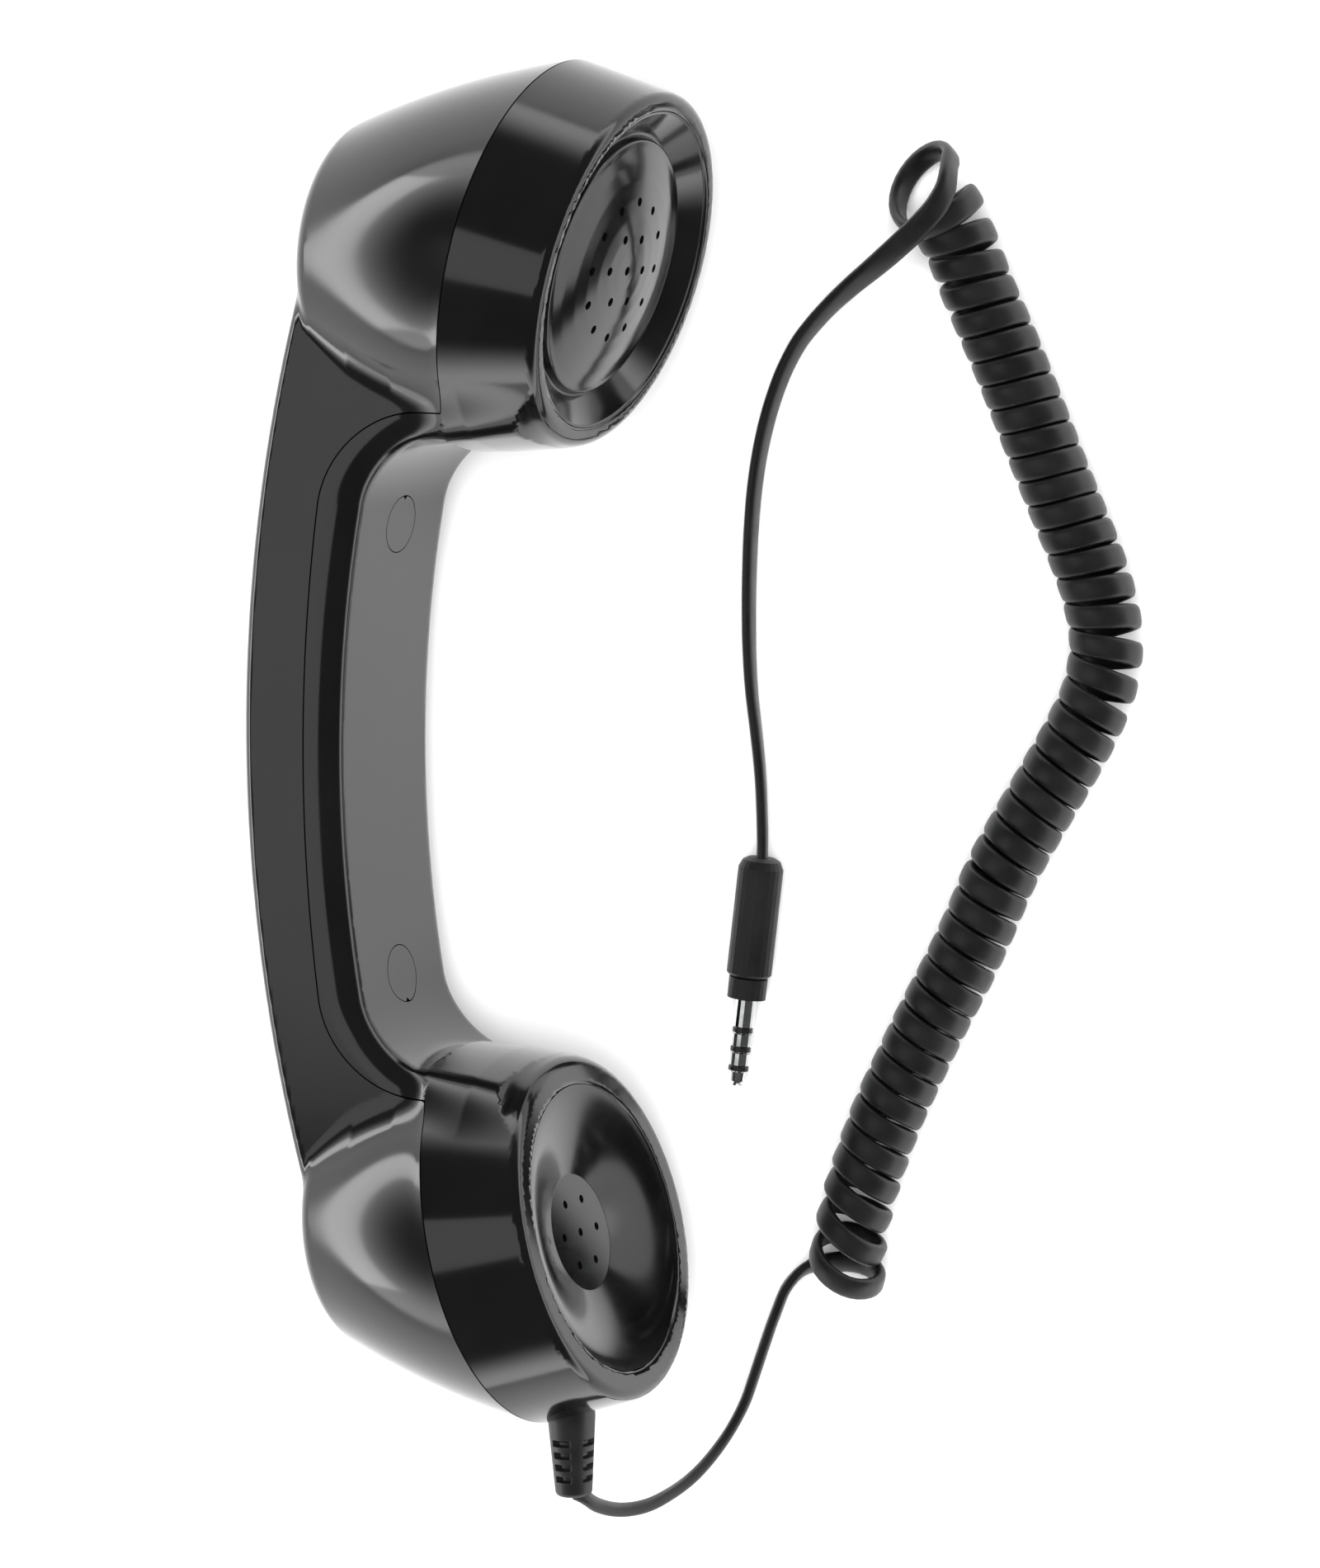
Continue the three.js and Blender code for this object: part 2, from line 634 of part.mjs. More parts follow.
// ---- Receiver and microphone ----------------------------------------------------------------------
// Heights are behind the rim plane, stacked down from the underside of each dish.
const RECEIVER_TOP = -7.3;

function receiverGasket() {
  return ring(RECEIVER_RADIUS - 3.5, RECEIVER_RADIUS, RECEIVER_TOP + GAP, RECEIVER_TOP + 3);
}

function receiverFrame() {
  const floor = RECEIVER_TOP - RECEIVER_HEIGHT + 1;
  const inner = MAGNET_RADIUS + 1.6 + FIT;
  return revolve([
    [inner, floor - 1.2], [RECEIVER_RADIUS, floor + 0.6], [RECEIVER_RADIUS, RECEIVER_TOP],
    [RECEIVER_RADIUS - 1.4, RECEIVER_TOP], [RECEIVER_RADIUS - 1.4, floor + 1.9], [inner, floor],
    [inner, floor - 1.2],
  ], 24);
}

function receiverDiaphragm() {
  const edge = RECEIVER_RADIUS - 1.4 - FIT;
  return revolve([
    [0, RECEIVER_TOP - 1.6], [edge, RECEIVER_TOP - 1], [edge, RECEIVER_TOP - 0.6],
    [0, RECEIVER_TOP - 1.1],
  ], 24);
}

function voiceCoil() {
  return ring(MAGNET_RADIUS - 0.6, MAGNET_RADIUS - 0.1, RECEIVER_TOP - 5, RECEIVER_TOP - 2);
}

function receiverYoke() {
  const wallInner = MAGNET_RADIUS + 0.4;
  const outer = MAGNET_RADIUS + 1.6;
  const top = RECEIVER_TOP - 3;
  return revolve([
    [0, top - 6], [outer, top - 6], [outer, top], [wallInner, top], [wallInner, top - 5],
    [0, top - 5],
  ]);
}

function receiverMagnet() {
  return disc(MAGNET_RADIUS - 1, RECEIVER_TOP - 3 - 5 + GAP, RECEIVER_TOP - 4.3);
}

function polePlate() {
  return disc(MAGNET_RADIUS - 0.9, RECEIVER_TOP - 4, RECEIVER_TOP - 3);
}

const MIC_TOP = -MOUTH_DEPTH - DISH_THICKNESS - 1.4;

function micFelt() {
  return disc(MIC_RADIUS, MIC_TOP + GAP, MIC_TOP + 1.1, 24);
}

function micCapsule() {
  return disc(MIC_RADIUS, MIC_TOP - MIC_HEIGHT, MIC_TOP, 28);
}

function micHolder() {
  const outer = MIC_RADIUS + FIT + MIC_HOLDER_WALL;
  const floor = MIC_TOP - MIC_HEIGHT - FIT;
  return revolve([
    [2, floor - 1.2], [outer, floor - 1.2], [outer, MIC_TOP + 1], [MIC_RADIUS + FIT, MIC_TOP + 1],
    [MIC_RADIUS + FIT, floor], [2, floor], [2, floor - 1.2],
  ], 28);
}

// ---- Inside the handle ------------------------------------------------------------------------
function balanceWeight() {
  const x = bowX(WEIGHT_LENGTH / 2, BACK_X, 0, BACK_RADIUS) + WALL + 2 * GAP;
  const bar = new THREE.BoxGeometry(WEIGHT_THICKNESS, WEIGHT_LENGTH, WEIGHT_WIDTH);
  return bar.translate(x + WEIGHT_THICKNESS / 2, 0, 0);
}

// A solid round tube along a smooth curve through points.
function tube(points, radius, sides, steps) {
  const outline = Array.from({ length: sides }, (_, i) => {
    const angle = (2 * Math.PI * (i + 0.5)) / sides;
    return new THREE.Vector2(radius * Math.cos(angle), radius * Math.sin(angle));
  });
  const path = new THREE.CatmullRomCurve3(points.map((p) => new THREE.Vector3(...p)));
  return new THREE.ExtrudeGeometry(new THREE.Shape(outline), { extrudePath: path, steps });
}

// ---- Strain relief -------------------------------------------------------------------------------
function boot() {
  const flangeTop = -BOOT_SINK - FIT - WALL - 1.2;
  const body = toSolid(revolve([
    [0, flangeTop - BOOT_FLANGE], [BOOT_FLANGE_RADIUS, flangeTop - BOOT_FLANGE],
    [BOOT_FLANGE_RADIUS, flangeTop], [BOOT_NECK_RADIUS, flangeTop],
    [BOOT_NECK_RADIUS, -BOOT_SINK], [BOOT_BASE_RADIUS, -BOOT_SINK], [BOOT_BASE_RADIUS, 2.4],
    [BOOT_TIP_RADIUS, BOOT_LENGTH - 0.5], [BOOT_TIP_RADIUS - 0.5, BOOT_LENGTH], [0, BOOT_LENGTH],
  ], 24));
  const slots = [];
  for (let i = 0; i < BOOT_SLOTS; i += 1) {
    const height = 4.2 + 2.1 * i;
    for (const way of [-1, 1]) {
      const slot = new THREE.BoxGeometry(3 * BOOT_BASE_RADIUS, 1, 2);
      slots.push(toSolid(slot.translate(0, height, way * (BOOT_TIP_RADIUS + 0.1))));
    }
  }
  return cut(body, slots);
}

// ---- Plug -------------------------------------------------------------------------------------
function plugBarrel() {
  const radius = PLUG_BARREL_RADIUS;
  const end = PLUG_BARREL_LENGTH;
  return revolve([
    [0, 0], [radius - 1.5, 0], [radius - 0.6, 0.5], [radius, 1.8], [radius, end - 0.5],
    [radius - 0.5, end], [0, end],
  ], 24);
}

function plugCollar(from) {
  const end = from + PLUG_COLLAR_LENGTH;
  const bore = PIN_CORE_RADIUS + FIT;
  return revolve([
    [bore, from], [PLUG_COLLAR_RADIUS, from], [PLUG_COLLAR_RADIUS, end], [bore, end], [bore, from],
  ], 24);
}

// The pin's ringed pieces from the collar outwards: [name, length, is metal].
const PIN_STACK = [
  ['plug_sleeve', PIN_SLEEVE, true],
  ['plug_insulator_1', PIN_INSULATOR, false],
  ['plug_ring_2', PIN_RING, true],
  ['plug_insulator_2', PIN_INSULATOR, false],
  ['plug_ring_1', PIN_RING, true],
  ['plug_insulator_3', PIN_INSULATOR, false],
];

function plugTip(from, start) {
  return revolve([
    [0, from], [PIN_CORE_RADIUS, from], [PIN_CORE_RADIUS, start], [PIN_RADIUS * 0.72, start],
    [PIN_RADIUS * 0.66, start + 0.5 * PIN_TIP], [PIN_RADIUS, start + 0.68 * PIN_TIP],
    [PIN_RADIUS * 0.3, start + PIN_TIP], [0, start + PIN_TIP],
  ], 20);
}

// ---- Materials ------------------------------------------------------------------------------------
function finish(color, roughness, metalness = 0) {
  return () => new THREE.MeshStandardMaterial({ color, roughness, metalness });
}
const glossBlack = finish(0x121213, 0.18);
const satinBlack = finish(0x1a1a1b, 0.45);
const cordBlack = finish(0x1c1c1e, 0.5);
const steel = finish(0x9a9ca0, 0.35, 1);
const chrome = finish(0xd6d8da, 0.12, 1);
const ferrite = finish(0x3a3b3d, 0.6);
const foam = finish(0x2b2b2d, 0.95);
const film = finish(0xcfc9b4, 0.4);
const copper = finish(0xb5703c, 0.35, 1);
const redLead = finish(0x8f1f1a, 0.5);
const blueLead = finish(0x23407c, 0.5);

// ---- Assembly -----------------------------------------------------------------------------------
const handset = new THREE.Group();
const group = new THREE.Group();

function add(parent, name, shape, material) {
  const solid = shape.isBufferGeometry ? toSolid(shape) : shape;
  const mesh = new THREE.Mesh(toGeometry(solid), material());
  mesh.name = name;
  parent.add(mesh);
  return mesh;
}

// A group whose +Y runs along direction from point.
function placedGroup(parent, point, direction) {
  const placed = new THREE.Group();
  placed.position.copy(point);
  placed.quaternion.setFromUnitVectors(new THREE.Vector3(0, 1, 0), direction);
  parent.add(placed);
  return placed;
}

function cupGroup(head) {
  return placedGroup(handset, rimCentre(head), sectionAxes(head, head.tilt).forward);
}

function addShells() {
  add(handset, 'front_shell', frontShell(), glossBlack);
  add(handset, 'back_shell', backShell(), glossBlack);
}

function addEarpiece() {
  const cup = cupGroup(EAR);
  add(cup, 'earpiece_dish', earDish(), glossBlack);
  add(cup, 'receiver_gasket', receiverGasket(), foam);
  add(cup, 'receiver_frame', receiverFrame(), satinBlack);
  add(cup, 'receiver_diaphragm', receiverDiaphragm(), film);
  add(cup, 'receiver_voice_coil', voiceCoil(), copper);
  add(cup, 'receiver_yoke', receiverYoke(), steel);
  add(cup, 'receiver_magnet', receiverMagnet(), ferrite);
  add(cup, 'receiver_pole_plate', polePlate(), steel);
}

function addMouthpiece() {
  const cup = cupGroup(MOUTH);
  add(cup, 'mouthpiece_funnel', mouthFunnel(), glossBlack);
  add(cup, 'microphone_felt', micFelt(), foam);
  add(cup, 'microphone_capsule', micCapsule(), steel);
  add(cup, 'microphone_holder', micHolder(), satinBlack);
}

function addScrews() {
  for (const [name, seat] of Object.entries(SEAT)) {
    const placed = placedGroup(handset, seat.point, seat.out);
    add(placed, `screw_${name}`, screw(), steel);
    add(placed, `screw_cover_${name}`, screwCover(Math.sign(seat.point.y)), glossBlack);
  }
}

function addInside() {
  add(handset, 'balance_weight', balanceWeight(), steel);
  add(handset, 'receiver_leads', tube(RECEIVER_LEAD_ROUTE, LEAD_RADIUS, 6, 34), redLead);
  add(handset, 'microphone_leads', tube(MICROPHONE_LEAD_ROUTE, LEAD_RADIUS, 6, 16), blueLead);
}

function addBoot() {
  const placed = placedGroup(handset, BOOT.point, BOOT.out);
  return add(placed, 'strain_relief', boot(), satinBlack);
}

// A point a little way along the line from a to b.
function stepToward(a, b, distance) {
  const from = new THREE.Vector3(...a);
  const toward = new THREE.Vector3(...b).sub(from).normalize();
  return from.addScaledVector(toward, distance).toArray();
}

function addCord() {
  const fromBoot = (distance) => BOOT.point.clone().addScaledVector(BOOT.out, distance)
    .applyMatrix4(handset.matrixWorld).toArray();
  const leadIn = (a, b) => [stepToward(a, b, -GAP - CORD_LEAD), stepToward(a, b, -GAP)];
  const half = CORD_WIDTH / 2;
  const start = BOOT_LENGTH + GAP;
  const lower = [
    fromBoot(start), fromBoot(start + CORD_LEAD), ...CORD_LOWER_ROUTE,
    ...leadIn(COIL_ROUTE[0], COIL_ROUTE[1]),
  ];
  const upper = [
    ...leadIn(COIL_ROUTE.at(-1), COIL_ROUTE.at(-2)).reverse(), ...CORD_UPPER_ROUTE,
    ...leadIn(PLUG_TAIL, PLUG_POINTS_AT),
  ];
  add(group, 'cord_lower', tube(lower, half, CORD_SIDES, 24), cordBlack);
  add(group, 'cord_coil', tube(COIL_ROUTE, COIL_RADIUS, COIL_SIDES, 32), cordBlack);
  add(group, 'cord_upper', tube(upper, half, CORD_SIDES, 36), cordBlack);
}

function addPlug() {
  const tail = new THREE.Vector3(...PLUG_TAIL);
  const direction = new THREE.Vector3(...PLUG_POINTS_AT).sub(tail).normalize();
  const plug = placedGroup(group, tail, direction);
  const collarAt = PLUG_BARREL_LENGTH + GAP;
  add(plug, 'plug_barrel', plugBarrel(), satinBlack);
  add(plug, 'plug_collar', plugCollar(collarAt), satinBlack);
  let height = collarAt + PLUG_COLLAR_LENGTH + GAP;
  for (const [name, length, isMetal] of PIN_STACK) {
    const piece = ring(PIN_CORE_RADIUS + FIT, PIN_RADIUS, height, height + length, 16);
    add(plug, name, piece, isMetal ? chrome : satinBlack);
    height += length + GAP;
  }
  add(plug, 'plug_tip', plugTip(collarAt, height), chrome);
}

addShells();
addEarpiece();
addMouthpiece();
addScrews();
addInside();
addBoot();

// Lays the handset back onto its heads, and puts the middle of its box over the origin.
handset.rotation.y = -rad(ROLL);
group.add(handset);
group.updateMatrixWorld(true);
const box = new THREE.Box3().setFromObject(handset, true);
const middle = box.getCenter(new THREE.Vector3());
handset.position.set(-middle.x, -middle.y, -box.min.z);
group.updateMatrixWorld(true);

addCord();
addPlug();
group.updateMatrixWorld(true);

export default group;
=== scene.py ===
"""A retro telephone handset with a flat curly cord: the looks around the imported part.

Handset pieces are shaped in a frame of their own, in millimetres: x is depth, towards the cups; y is length, towards
the earpiece; z is width, from the mid-plane. They are then laid on their side as the part lies, in metres.
"""
import logging
import math
from dataclasses import dataclass, field
from enum import Enum
from typing import Any, Optional, Sequence

import bpy
import numpy as np
from mathutils import Matrix, Vector


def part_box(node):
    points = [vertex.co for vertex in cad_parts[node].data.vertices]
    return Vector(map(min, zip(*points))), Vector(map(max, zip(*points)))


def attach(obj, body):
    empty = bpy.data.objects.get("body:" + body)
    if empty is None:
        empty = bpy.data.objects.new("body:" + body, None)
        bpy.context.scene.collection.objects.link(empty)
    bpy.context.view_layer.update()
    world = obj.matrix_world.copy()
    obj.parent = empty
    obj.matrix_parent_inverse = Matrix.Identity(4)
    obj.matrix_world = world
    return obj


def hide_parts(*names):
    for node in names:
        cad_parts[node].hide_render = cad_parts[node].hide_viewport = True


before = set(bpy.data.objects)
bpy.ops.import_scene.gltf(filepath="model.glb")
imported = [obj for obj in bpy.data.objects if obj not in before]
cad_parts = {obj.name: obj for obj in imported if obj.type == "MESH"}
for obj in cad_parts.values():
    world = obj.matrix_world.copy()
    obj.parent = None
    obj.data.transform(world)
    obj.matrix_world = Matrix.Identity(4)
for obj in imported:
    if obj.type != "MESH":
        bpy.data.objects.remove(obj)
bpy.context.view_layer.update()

Array = np.ndarray
MM = 0.001
BODY = "root"
UP = np.array([0.0, 0.0, 1.0])
NUDGE = 0.02  # half the span over which a slope is measured, mm
DEEP = -30.0  # stands for any distance well inside a body, mm
PATCHES = {"From Min": 0.35, "From Max": 0.7}  # the noise levels between which a slow patch fades in
SPECKS = {"From Min": 0.72, "From Max": 0.78}  # and between which a fleck of dust does
log = logging.getLogger("handset")


# ---- Node trees and finishes ----------------------------------------------------------------------------------------
def linear(hex_code: str) -> tuple[float, float, float, float]:
    """Turns an sRGB colour into linear light.

    Args:
        hex_code: six hex digits.

    Returns:
        Linear red, green, blue and an alpha of 1.
    """
    parts = [int(hex_code[i:i + 2], 16) / 255 for i in (0, 2, 4)]
    red, green, blue = (c / 12.92 if c <= 0.04045 else ((c + 0.055) / 1.055) ** 2.4 for c in parts)
    return red, green, blue, 1.0


def add_node(tree: bpy.types.NodeTree, kind: str, settings: Optional[dict[str, Any]] = None,
             inputs: Optional[dict[Any, Any]] = None) -> bpy.types.Node:
    """Adds a node with its settings, values and links.

    Args:
        tree: the node tree.
        kind: the node's type without its ShaderNode prefix.
        settings: the node's own properties.
        inputs: a value, or a socket to link from, for each input by name or index.

    Returns:
        The new node.
    """
    made = tree.nodes.new("ShaderNode" + kind)
    for name, value in (settings or {}).items():
        setattr(made, name, value)
    for key, value in (inputs or {}).items():
        if isinstance(value, bpy.types.NodeSocket):
            tree.links.new(value, made.inputs[key])
        else:
            made.inputs[key].default_value = value
    return made


def per_metre(size_mm: float) -> float:
    """The scale of a pattern whose features are size_mm apart."""
    return 1 / (size_mm * MM)


@dataclass(frozen=True)
class Finish:
    """A surface finish: what it is made of and how its surface was made."""

    name: str
    base: str  # sRGB
    worn: str  # sRGB, where it is rubbed or dusty
    roughness: float
    roughness_spread: float
    grain_mm: float  # the fine texture's spacing
    grain_height_mm: float
    cloud_mm: float  # the slow variation's spacing
    metallic: float = 0.0
    ior: Optional[float] = 1.5
    sheen: float = 0.0
    fleck_share: float = 0.0  # how much of the surface carries dust flecks
    fleck_mm: float = 0.6

    def build(self) -> bpy.types.Material:
        """Makes the material.

        Returns:
            The material.
        """
        material = bpy.data.materials.new(self.name)
        material.use_nodes = True
        tree = material.node_tree
        tree.nodes.clear()
        place = add_node(tree, "TexCoord").outputs["Object"]
        cloud = add_node(tree, "TexNoise", {}, {
            "Vector": place, "Detail": 3.0, "Scale": per_metre(self.cloud_mm), "Roughness": 0.55})
        grain = add_node(tree, "TexNoise", {}, {
            "Vector": place, "Detail": 2.0, "Scale": per_metre(self.grain_mm), "Roughness": 0.5})
        patches = add_node(tree, "MapRange", {}, {"Value": cloud.outputs["Fac"], **PATCHES})
        share = patches.outputs["Result"]
        if self.fleck_share > 0:
            fleck = add_node(tree, "TexNoise", {}, {
                "Vector": place, "Detail": 4.0, "Scale": per_metre(self.fleck_mm), "Roughness": 0.7})
            spots = add_node(tree, "MapRange", {}, {
                "Value": fleck.outputs["Fac"], **SPECKS, "To Max": self.fleck_share})
            share = add_node(tree, "Math", {"operation": "ADD", "use_clamp": True},
                             {0: share, 1: spots.outputs["Result"]}).outputs["Value"]
        colour = add_node(tree, "Mix", {"data_type": "RGBA"}, {0: share, 6: linear(self.base), 7: linear(self.worn)})
        gloss = add_node(tree, "MapRange", {}, {
            "Value": share, "To Min": self.roughness, "To Max": self.roughness + self.roughness_spread})
        bump = add_node(tree, "Bump", {}, {"Height": grain.outputs["Fac"], "Strength": 1.0,
                                           "Distance": self.grain_height_mm * MM})
        settings = {
            "Base Color": colour.outputs["Result"], "Roughness": gloss.outputs["Result"],
            "Normal": bump.outputs["Normal"], "Metallic": self.metallic, "Sheen Weight": self.sheen,
        }
        if self.ior is not None:
            settings["IOR"] = self.ior
        shader = add_node(tree, "BsdfPrincipled", {}, settings)
        add_node(tree, "OutputMaterial", {}, {"Surface": shader.outputs["BSDF"]})
        return material


class Look(Enum):
    """Every finish on the handset."""

    # Polished ABS from a mirror-finished mould: deep black, sharp reflections, a trace of flow ripple and dust.
    SHELL = Finish("abs_gloss_black", base="070708", worn="0C0C0D", roughness=0.09, roughness_spread=0.06,
                   grain_mm=2.2, grain_height_mm=0.0012, cloud_mm=26, ior=1.52, fleck_share=0.25, fleck_mm=0.9)
    # The same ABS in the cups, from a slightly duller tool.
    CUP = Finish("abs_cup_black", base="080809", worn="0D0D0E", roughness=0.1, roughness_spread=0.06, grain_mm=1.2,
                 grain_height_mm=0.0012, cloud_mm=14, ior=1.52, fleck_share=0.2)
    # Flexible PVC sheath, extruded: satin, and slightly uneven to the touch.
    SHEATH = Finish("pvc_sheath_black", base="0B0B0C", worn="131314", roughness=0.4, roughness_spread=0.12,
                    grain_mm=0.5, grain_height_mm=0.006, cloud_mm=6, ior=1.5)
    # Moulded flexible PVC of the strain relief: satin, with a fine spark-eroded grain.
    BOOT = Finish("pvc_boot_black", base="0B0B0C", worn="131314", roughness=0.44, roughness_spread=0.12,
                  grain_mm=0.35, grain_height_mm=0.012, cloud_mm=4, ior=1.53)
    # The plug's over-moulded barrel: matte with a fine grain, drawn at 0.3 mm so that it shows.
    BARREL = Finish("pvc_plug_black", base="0E0E0F", worn="161617", roughness=0.5, roughness_spread=0.12,
                    grain_mm=0.3, grain_height_mm=0.014, cloud_mm=5, ior=1.53)
    # Nickel plated brass of the plug's contacts: bright, with a faint mottle from handling.
    CONTACT = Finish("nickel_plated", base="D9DADA", worn="BDBEBF", roughness=0.12, roughness_spread=0.12,
                     grain_mm=0.25, grain_height_mm=0.0015, cloud_mm=3, metallic=1.0, ior=None)
    # Nylon rings between the contacts: moulded, satin.
    INSULATOR = Finish("nylon_ring_black", base="101011", worn="1A1A1B", roughness=0.35, roughness_spread=0.1,
                       grain_mm=0.3, grain_height_mm=0.004, cloud_mm=2)
    # Zinc plated steel of the screws, yoke and weight: a bright grey with duller patches.
    ZINC = Finish("zinc_plated_steel", base="A9ACB0", worn="83868A", roughness=0.3, roughness_spread=0.2,
                  grain_mm=0.5, grain_height_mm=0.003, cloud_mm=5, metallic=1.0, ior=None)
    # Moulded ABS, pressed ferrite and open foam inside the case, each duller than the last.
    INNER = Finish("abs_inner_black", base="1B1B1C", worn="262628", roughness=0.5, roughness_spread=0.12,
                   grain_mm=0.4, grain_height_mm=0.012, cloud_mm=6)
    FERRITE = Finish("ferrite_pressed", base="2E2F31", worn="404143", roughness=0.6, roughness_spread=0.15,
                     grain_mm=0.3, grain_height_mm=0.02, cloud_mm=3)
    FOAM = Finish("foam_and_felt", base="1F1F21", worn="333336", roughness=0.92, roughness_spread=0.05,
                  grain_mm=0.35, grain_height_mm=0.12, cloud_mm=2, sheen=0.3)
    # The diaphragm's film, drawn opaque, the voice coil's enamelled wire and the leads' coloured sheaths.
    FILM = Finish("polyester_film", base="D2CBB2", worn="BDB497", roughness=0.3, roughness_spread=0.15,
                  grain_mm=1.5, grain_height_mm=0.01, cloud_mm=5)
    WINDING = Finish("enamelled_copper", base="B06A35", worn="8E4F25", roughness=0.3, roughness_spread=0.15,
                     grain_mm=0.2, grain_height_mm=0.02, cloud_mm=2, metallic=1.0, ior=None)
    LEAD_RED = Finish("pvc_lead_red", base="8E1B17", worn="A32C24", roughness=0.45, roughness_spread=0.1,
                      grain_mm=0.5, grain_height_mm=0.01, cloud_mm=4)
    LEAD_BLUE = Finish("pvc_lead_blue", base="1F3E7C", worn="2C4F92", roughness=0.45, roughness_spread=0.1,
                       grain_mm=0.5, grain_height_mm=0.01, cloud_mm=4)

    def material(self) -> bpy.types.Material:
        """The finish's material, made once."""
        return bpy.data.materials.get(self.value.name) or self.value.build()


# ---- Mesh helpers ---------------------------------------------------------------------------------------------------
@dataclass(frozen=True)
class Surface:
    """Points in millimetres, triangles of them, and a normal at each point if it is known."""

    points: Array
    faces: Array
    normals: Optional[Array] = None


def unit(vectors: Array) -> Array:
    """Scales vectors to length 1."""
    return vectors / np.maximum(np.linalg.norm(vectors, axis=-1, keepdims=True), 1e-12)


def triangles_of(quads: Array) -> Array:
    """Splits quads into triangles."""
    return np.vstack([quads[:, [0, 1, 2]], quads[:, [0, 2, 3]]])


def ring_faces(rows: int, segments: int) -> Array:
    """Makes triangles between rows of points, each row a closed ring.

    Args:
        rows: how many rings.
        segments: points in each.

    Returns:
        The triangles.
    """
    i = np.arange(rows - 1)[:, None] * segments
    j = np.arange(segments)[None, :]
    k = (j + 1) % segments
    return triangles_of(np.stack([i + j, i + k, i + k + segments, i + j + segments], -1).reshape(-1, 4))


def cap_faces(centre: int, ring: Array, last: bool) -> Array:
    """Makes triangles from a middle point to a ring.

    Args:
        centre: the number of the middle point.
        ring: the numbers of the ring's points.
        last: whether the ring is the last of a row of rings, not the first.

    Returns:
        The triangles.
    """
    after = np.roll(ring, -1)
    return np.stack([np.full(len(ring), centre), *((ring, after) if last else (after, ring))], 1)


def clip(surface: Surface, keep: Array) -> Surface:
    """Keeps the part of a triangle surface where a value at its points is positive.

    Args:
        surface: triangles.
        keep: the value at each point.

    Returns:
        The kept part, cut where the value is 0.
    """
    least = 1e-6
    keep = np.where(np.abs(keep) < least, least, keep)
    inside = keep[surface.faces] > 0
    count = inside.sum(axis=1)
    whole = surface.faces[count == 3]
    lone_in = surface.faces[count == 1]
    lone_out = surface.faces[count == 2]
    first_in = inside[count == 1].argmax(axis=1)
    first_out = (~inside[count == 2]).argmax(axis=1)
    order = np.arange(3)
    turned_in = np.take_along_axis(lone_in, (first_in[:, None] + order) % 3, 1)
    turned_out = np.take_along_axis(lone_out, (first_out[:, None] + order) % 3, 1)
    edges = np.vstack([turned_in[:, [0, 1]], turned_in[:, [0, 2]], turned_out[:, [0, 1]], turned_out[:, [0, 2]]])
    ordered = np.sort(edges, axis=1)
    unique, index = np.unique(ordered, axis=0, return_inverse=True)
    index = index.reshape(-1)
    a, b = unique[:, 0], unique[:, 1]
    share = (keep[a] / (keep[a] - keep[b]))[:, None]
    points = np.vstack([surface.points, surface.points[a] + share * (surface.points[b] - surface.points[a])])
    normals = None
    if surface.normals is not None:
        between = surface.normals[a] + share * (surface.normals[b] - surface.normals[a])
        normals = np.vstack([surface.normals, unit(between)])
    index = index + len(surface.points)
    m, n = len(turned_in), len(turned_out)
    in_b, in_c = index[:m], index[m:2 * m]
    out_b, out_c = index[2 * m:2 * m + n], index[2 * m + n:]
    faces = np.vstack([
        whole,
        np.stack([turned_in[:, 0], in_b, in_c], 1),
        np.stack([out_b, turned_out[:, 1], turned_out[:, 2]], 1),
        np.stack([out_b, turned_out[:, 2], out_c], 1),
    ])
    used, faces = np.unique(faces, return_inverse=True)
    faces = faces.reshape(-1, 3)
    return Surface(points[used], faces, None if normals is None else normals[used])


def point_normals(points: Array, faces: Array) -> Array:
    """Works out area-weighted normals at the points of a triangle surface.

    Args:
        points: the points.
        faces: triangles of them.

    Returns:
        A normal for each point.
    """
    a, b, c = (points[faces[:, k]] for k in range(3))
    across = np.cross(b - a, c - a)
    total = np.zeros_like(points)
    for k in range(3):
        np.add.at(total, faces[:, k], across)
    return unit(total)


def thicken(surface: Surface, wall: float) -> tuple[Array, Array, Array]:
    """Gives an open triangle surface a wall behind it and walls along its edges.

    Args:
        surface: the outer skin, with normals.
        wall: thickness in millimetres.

    Returns:
        Points, triangles, and the normal of each triangle's corners.
    """
    count = len(surface.points)
    normals = surface.normals
    points = np.vstack([surface.points, surface.points - wall * normals])
    outer, inner = surface.faces, surface.faces[:, ::-1] + count
    directed = np.vstack([outer[:, [0, 1]], outer[:, [1, 2]], outer[:, [2, 0]]])
    key = directed.min(axis=1) * np.int64(count) + directed.max(axis=1)
    _, first, times = np.unique(key, return_index=True, return_counts=True)
    rim = directed[first[times == 1]]
    lips = triangles_of(np.stack([rim[:, 1], rim[:, 0], rim[:, 0] + count, rim[:, 1] + count], 1))
    faces = np.vstack([outer, inner, lips])
    a, b, c = (points[lips[:, k]] for k in range(3))
    lip_normals = np.repeat(unit(np.cross(b - a, c - a))[:, None], 3, axis=1)
    corners = np.concatenate([normals[outer], -normals[inner - count], lip_normals])
    return points, faces, corners


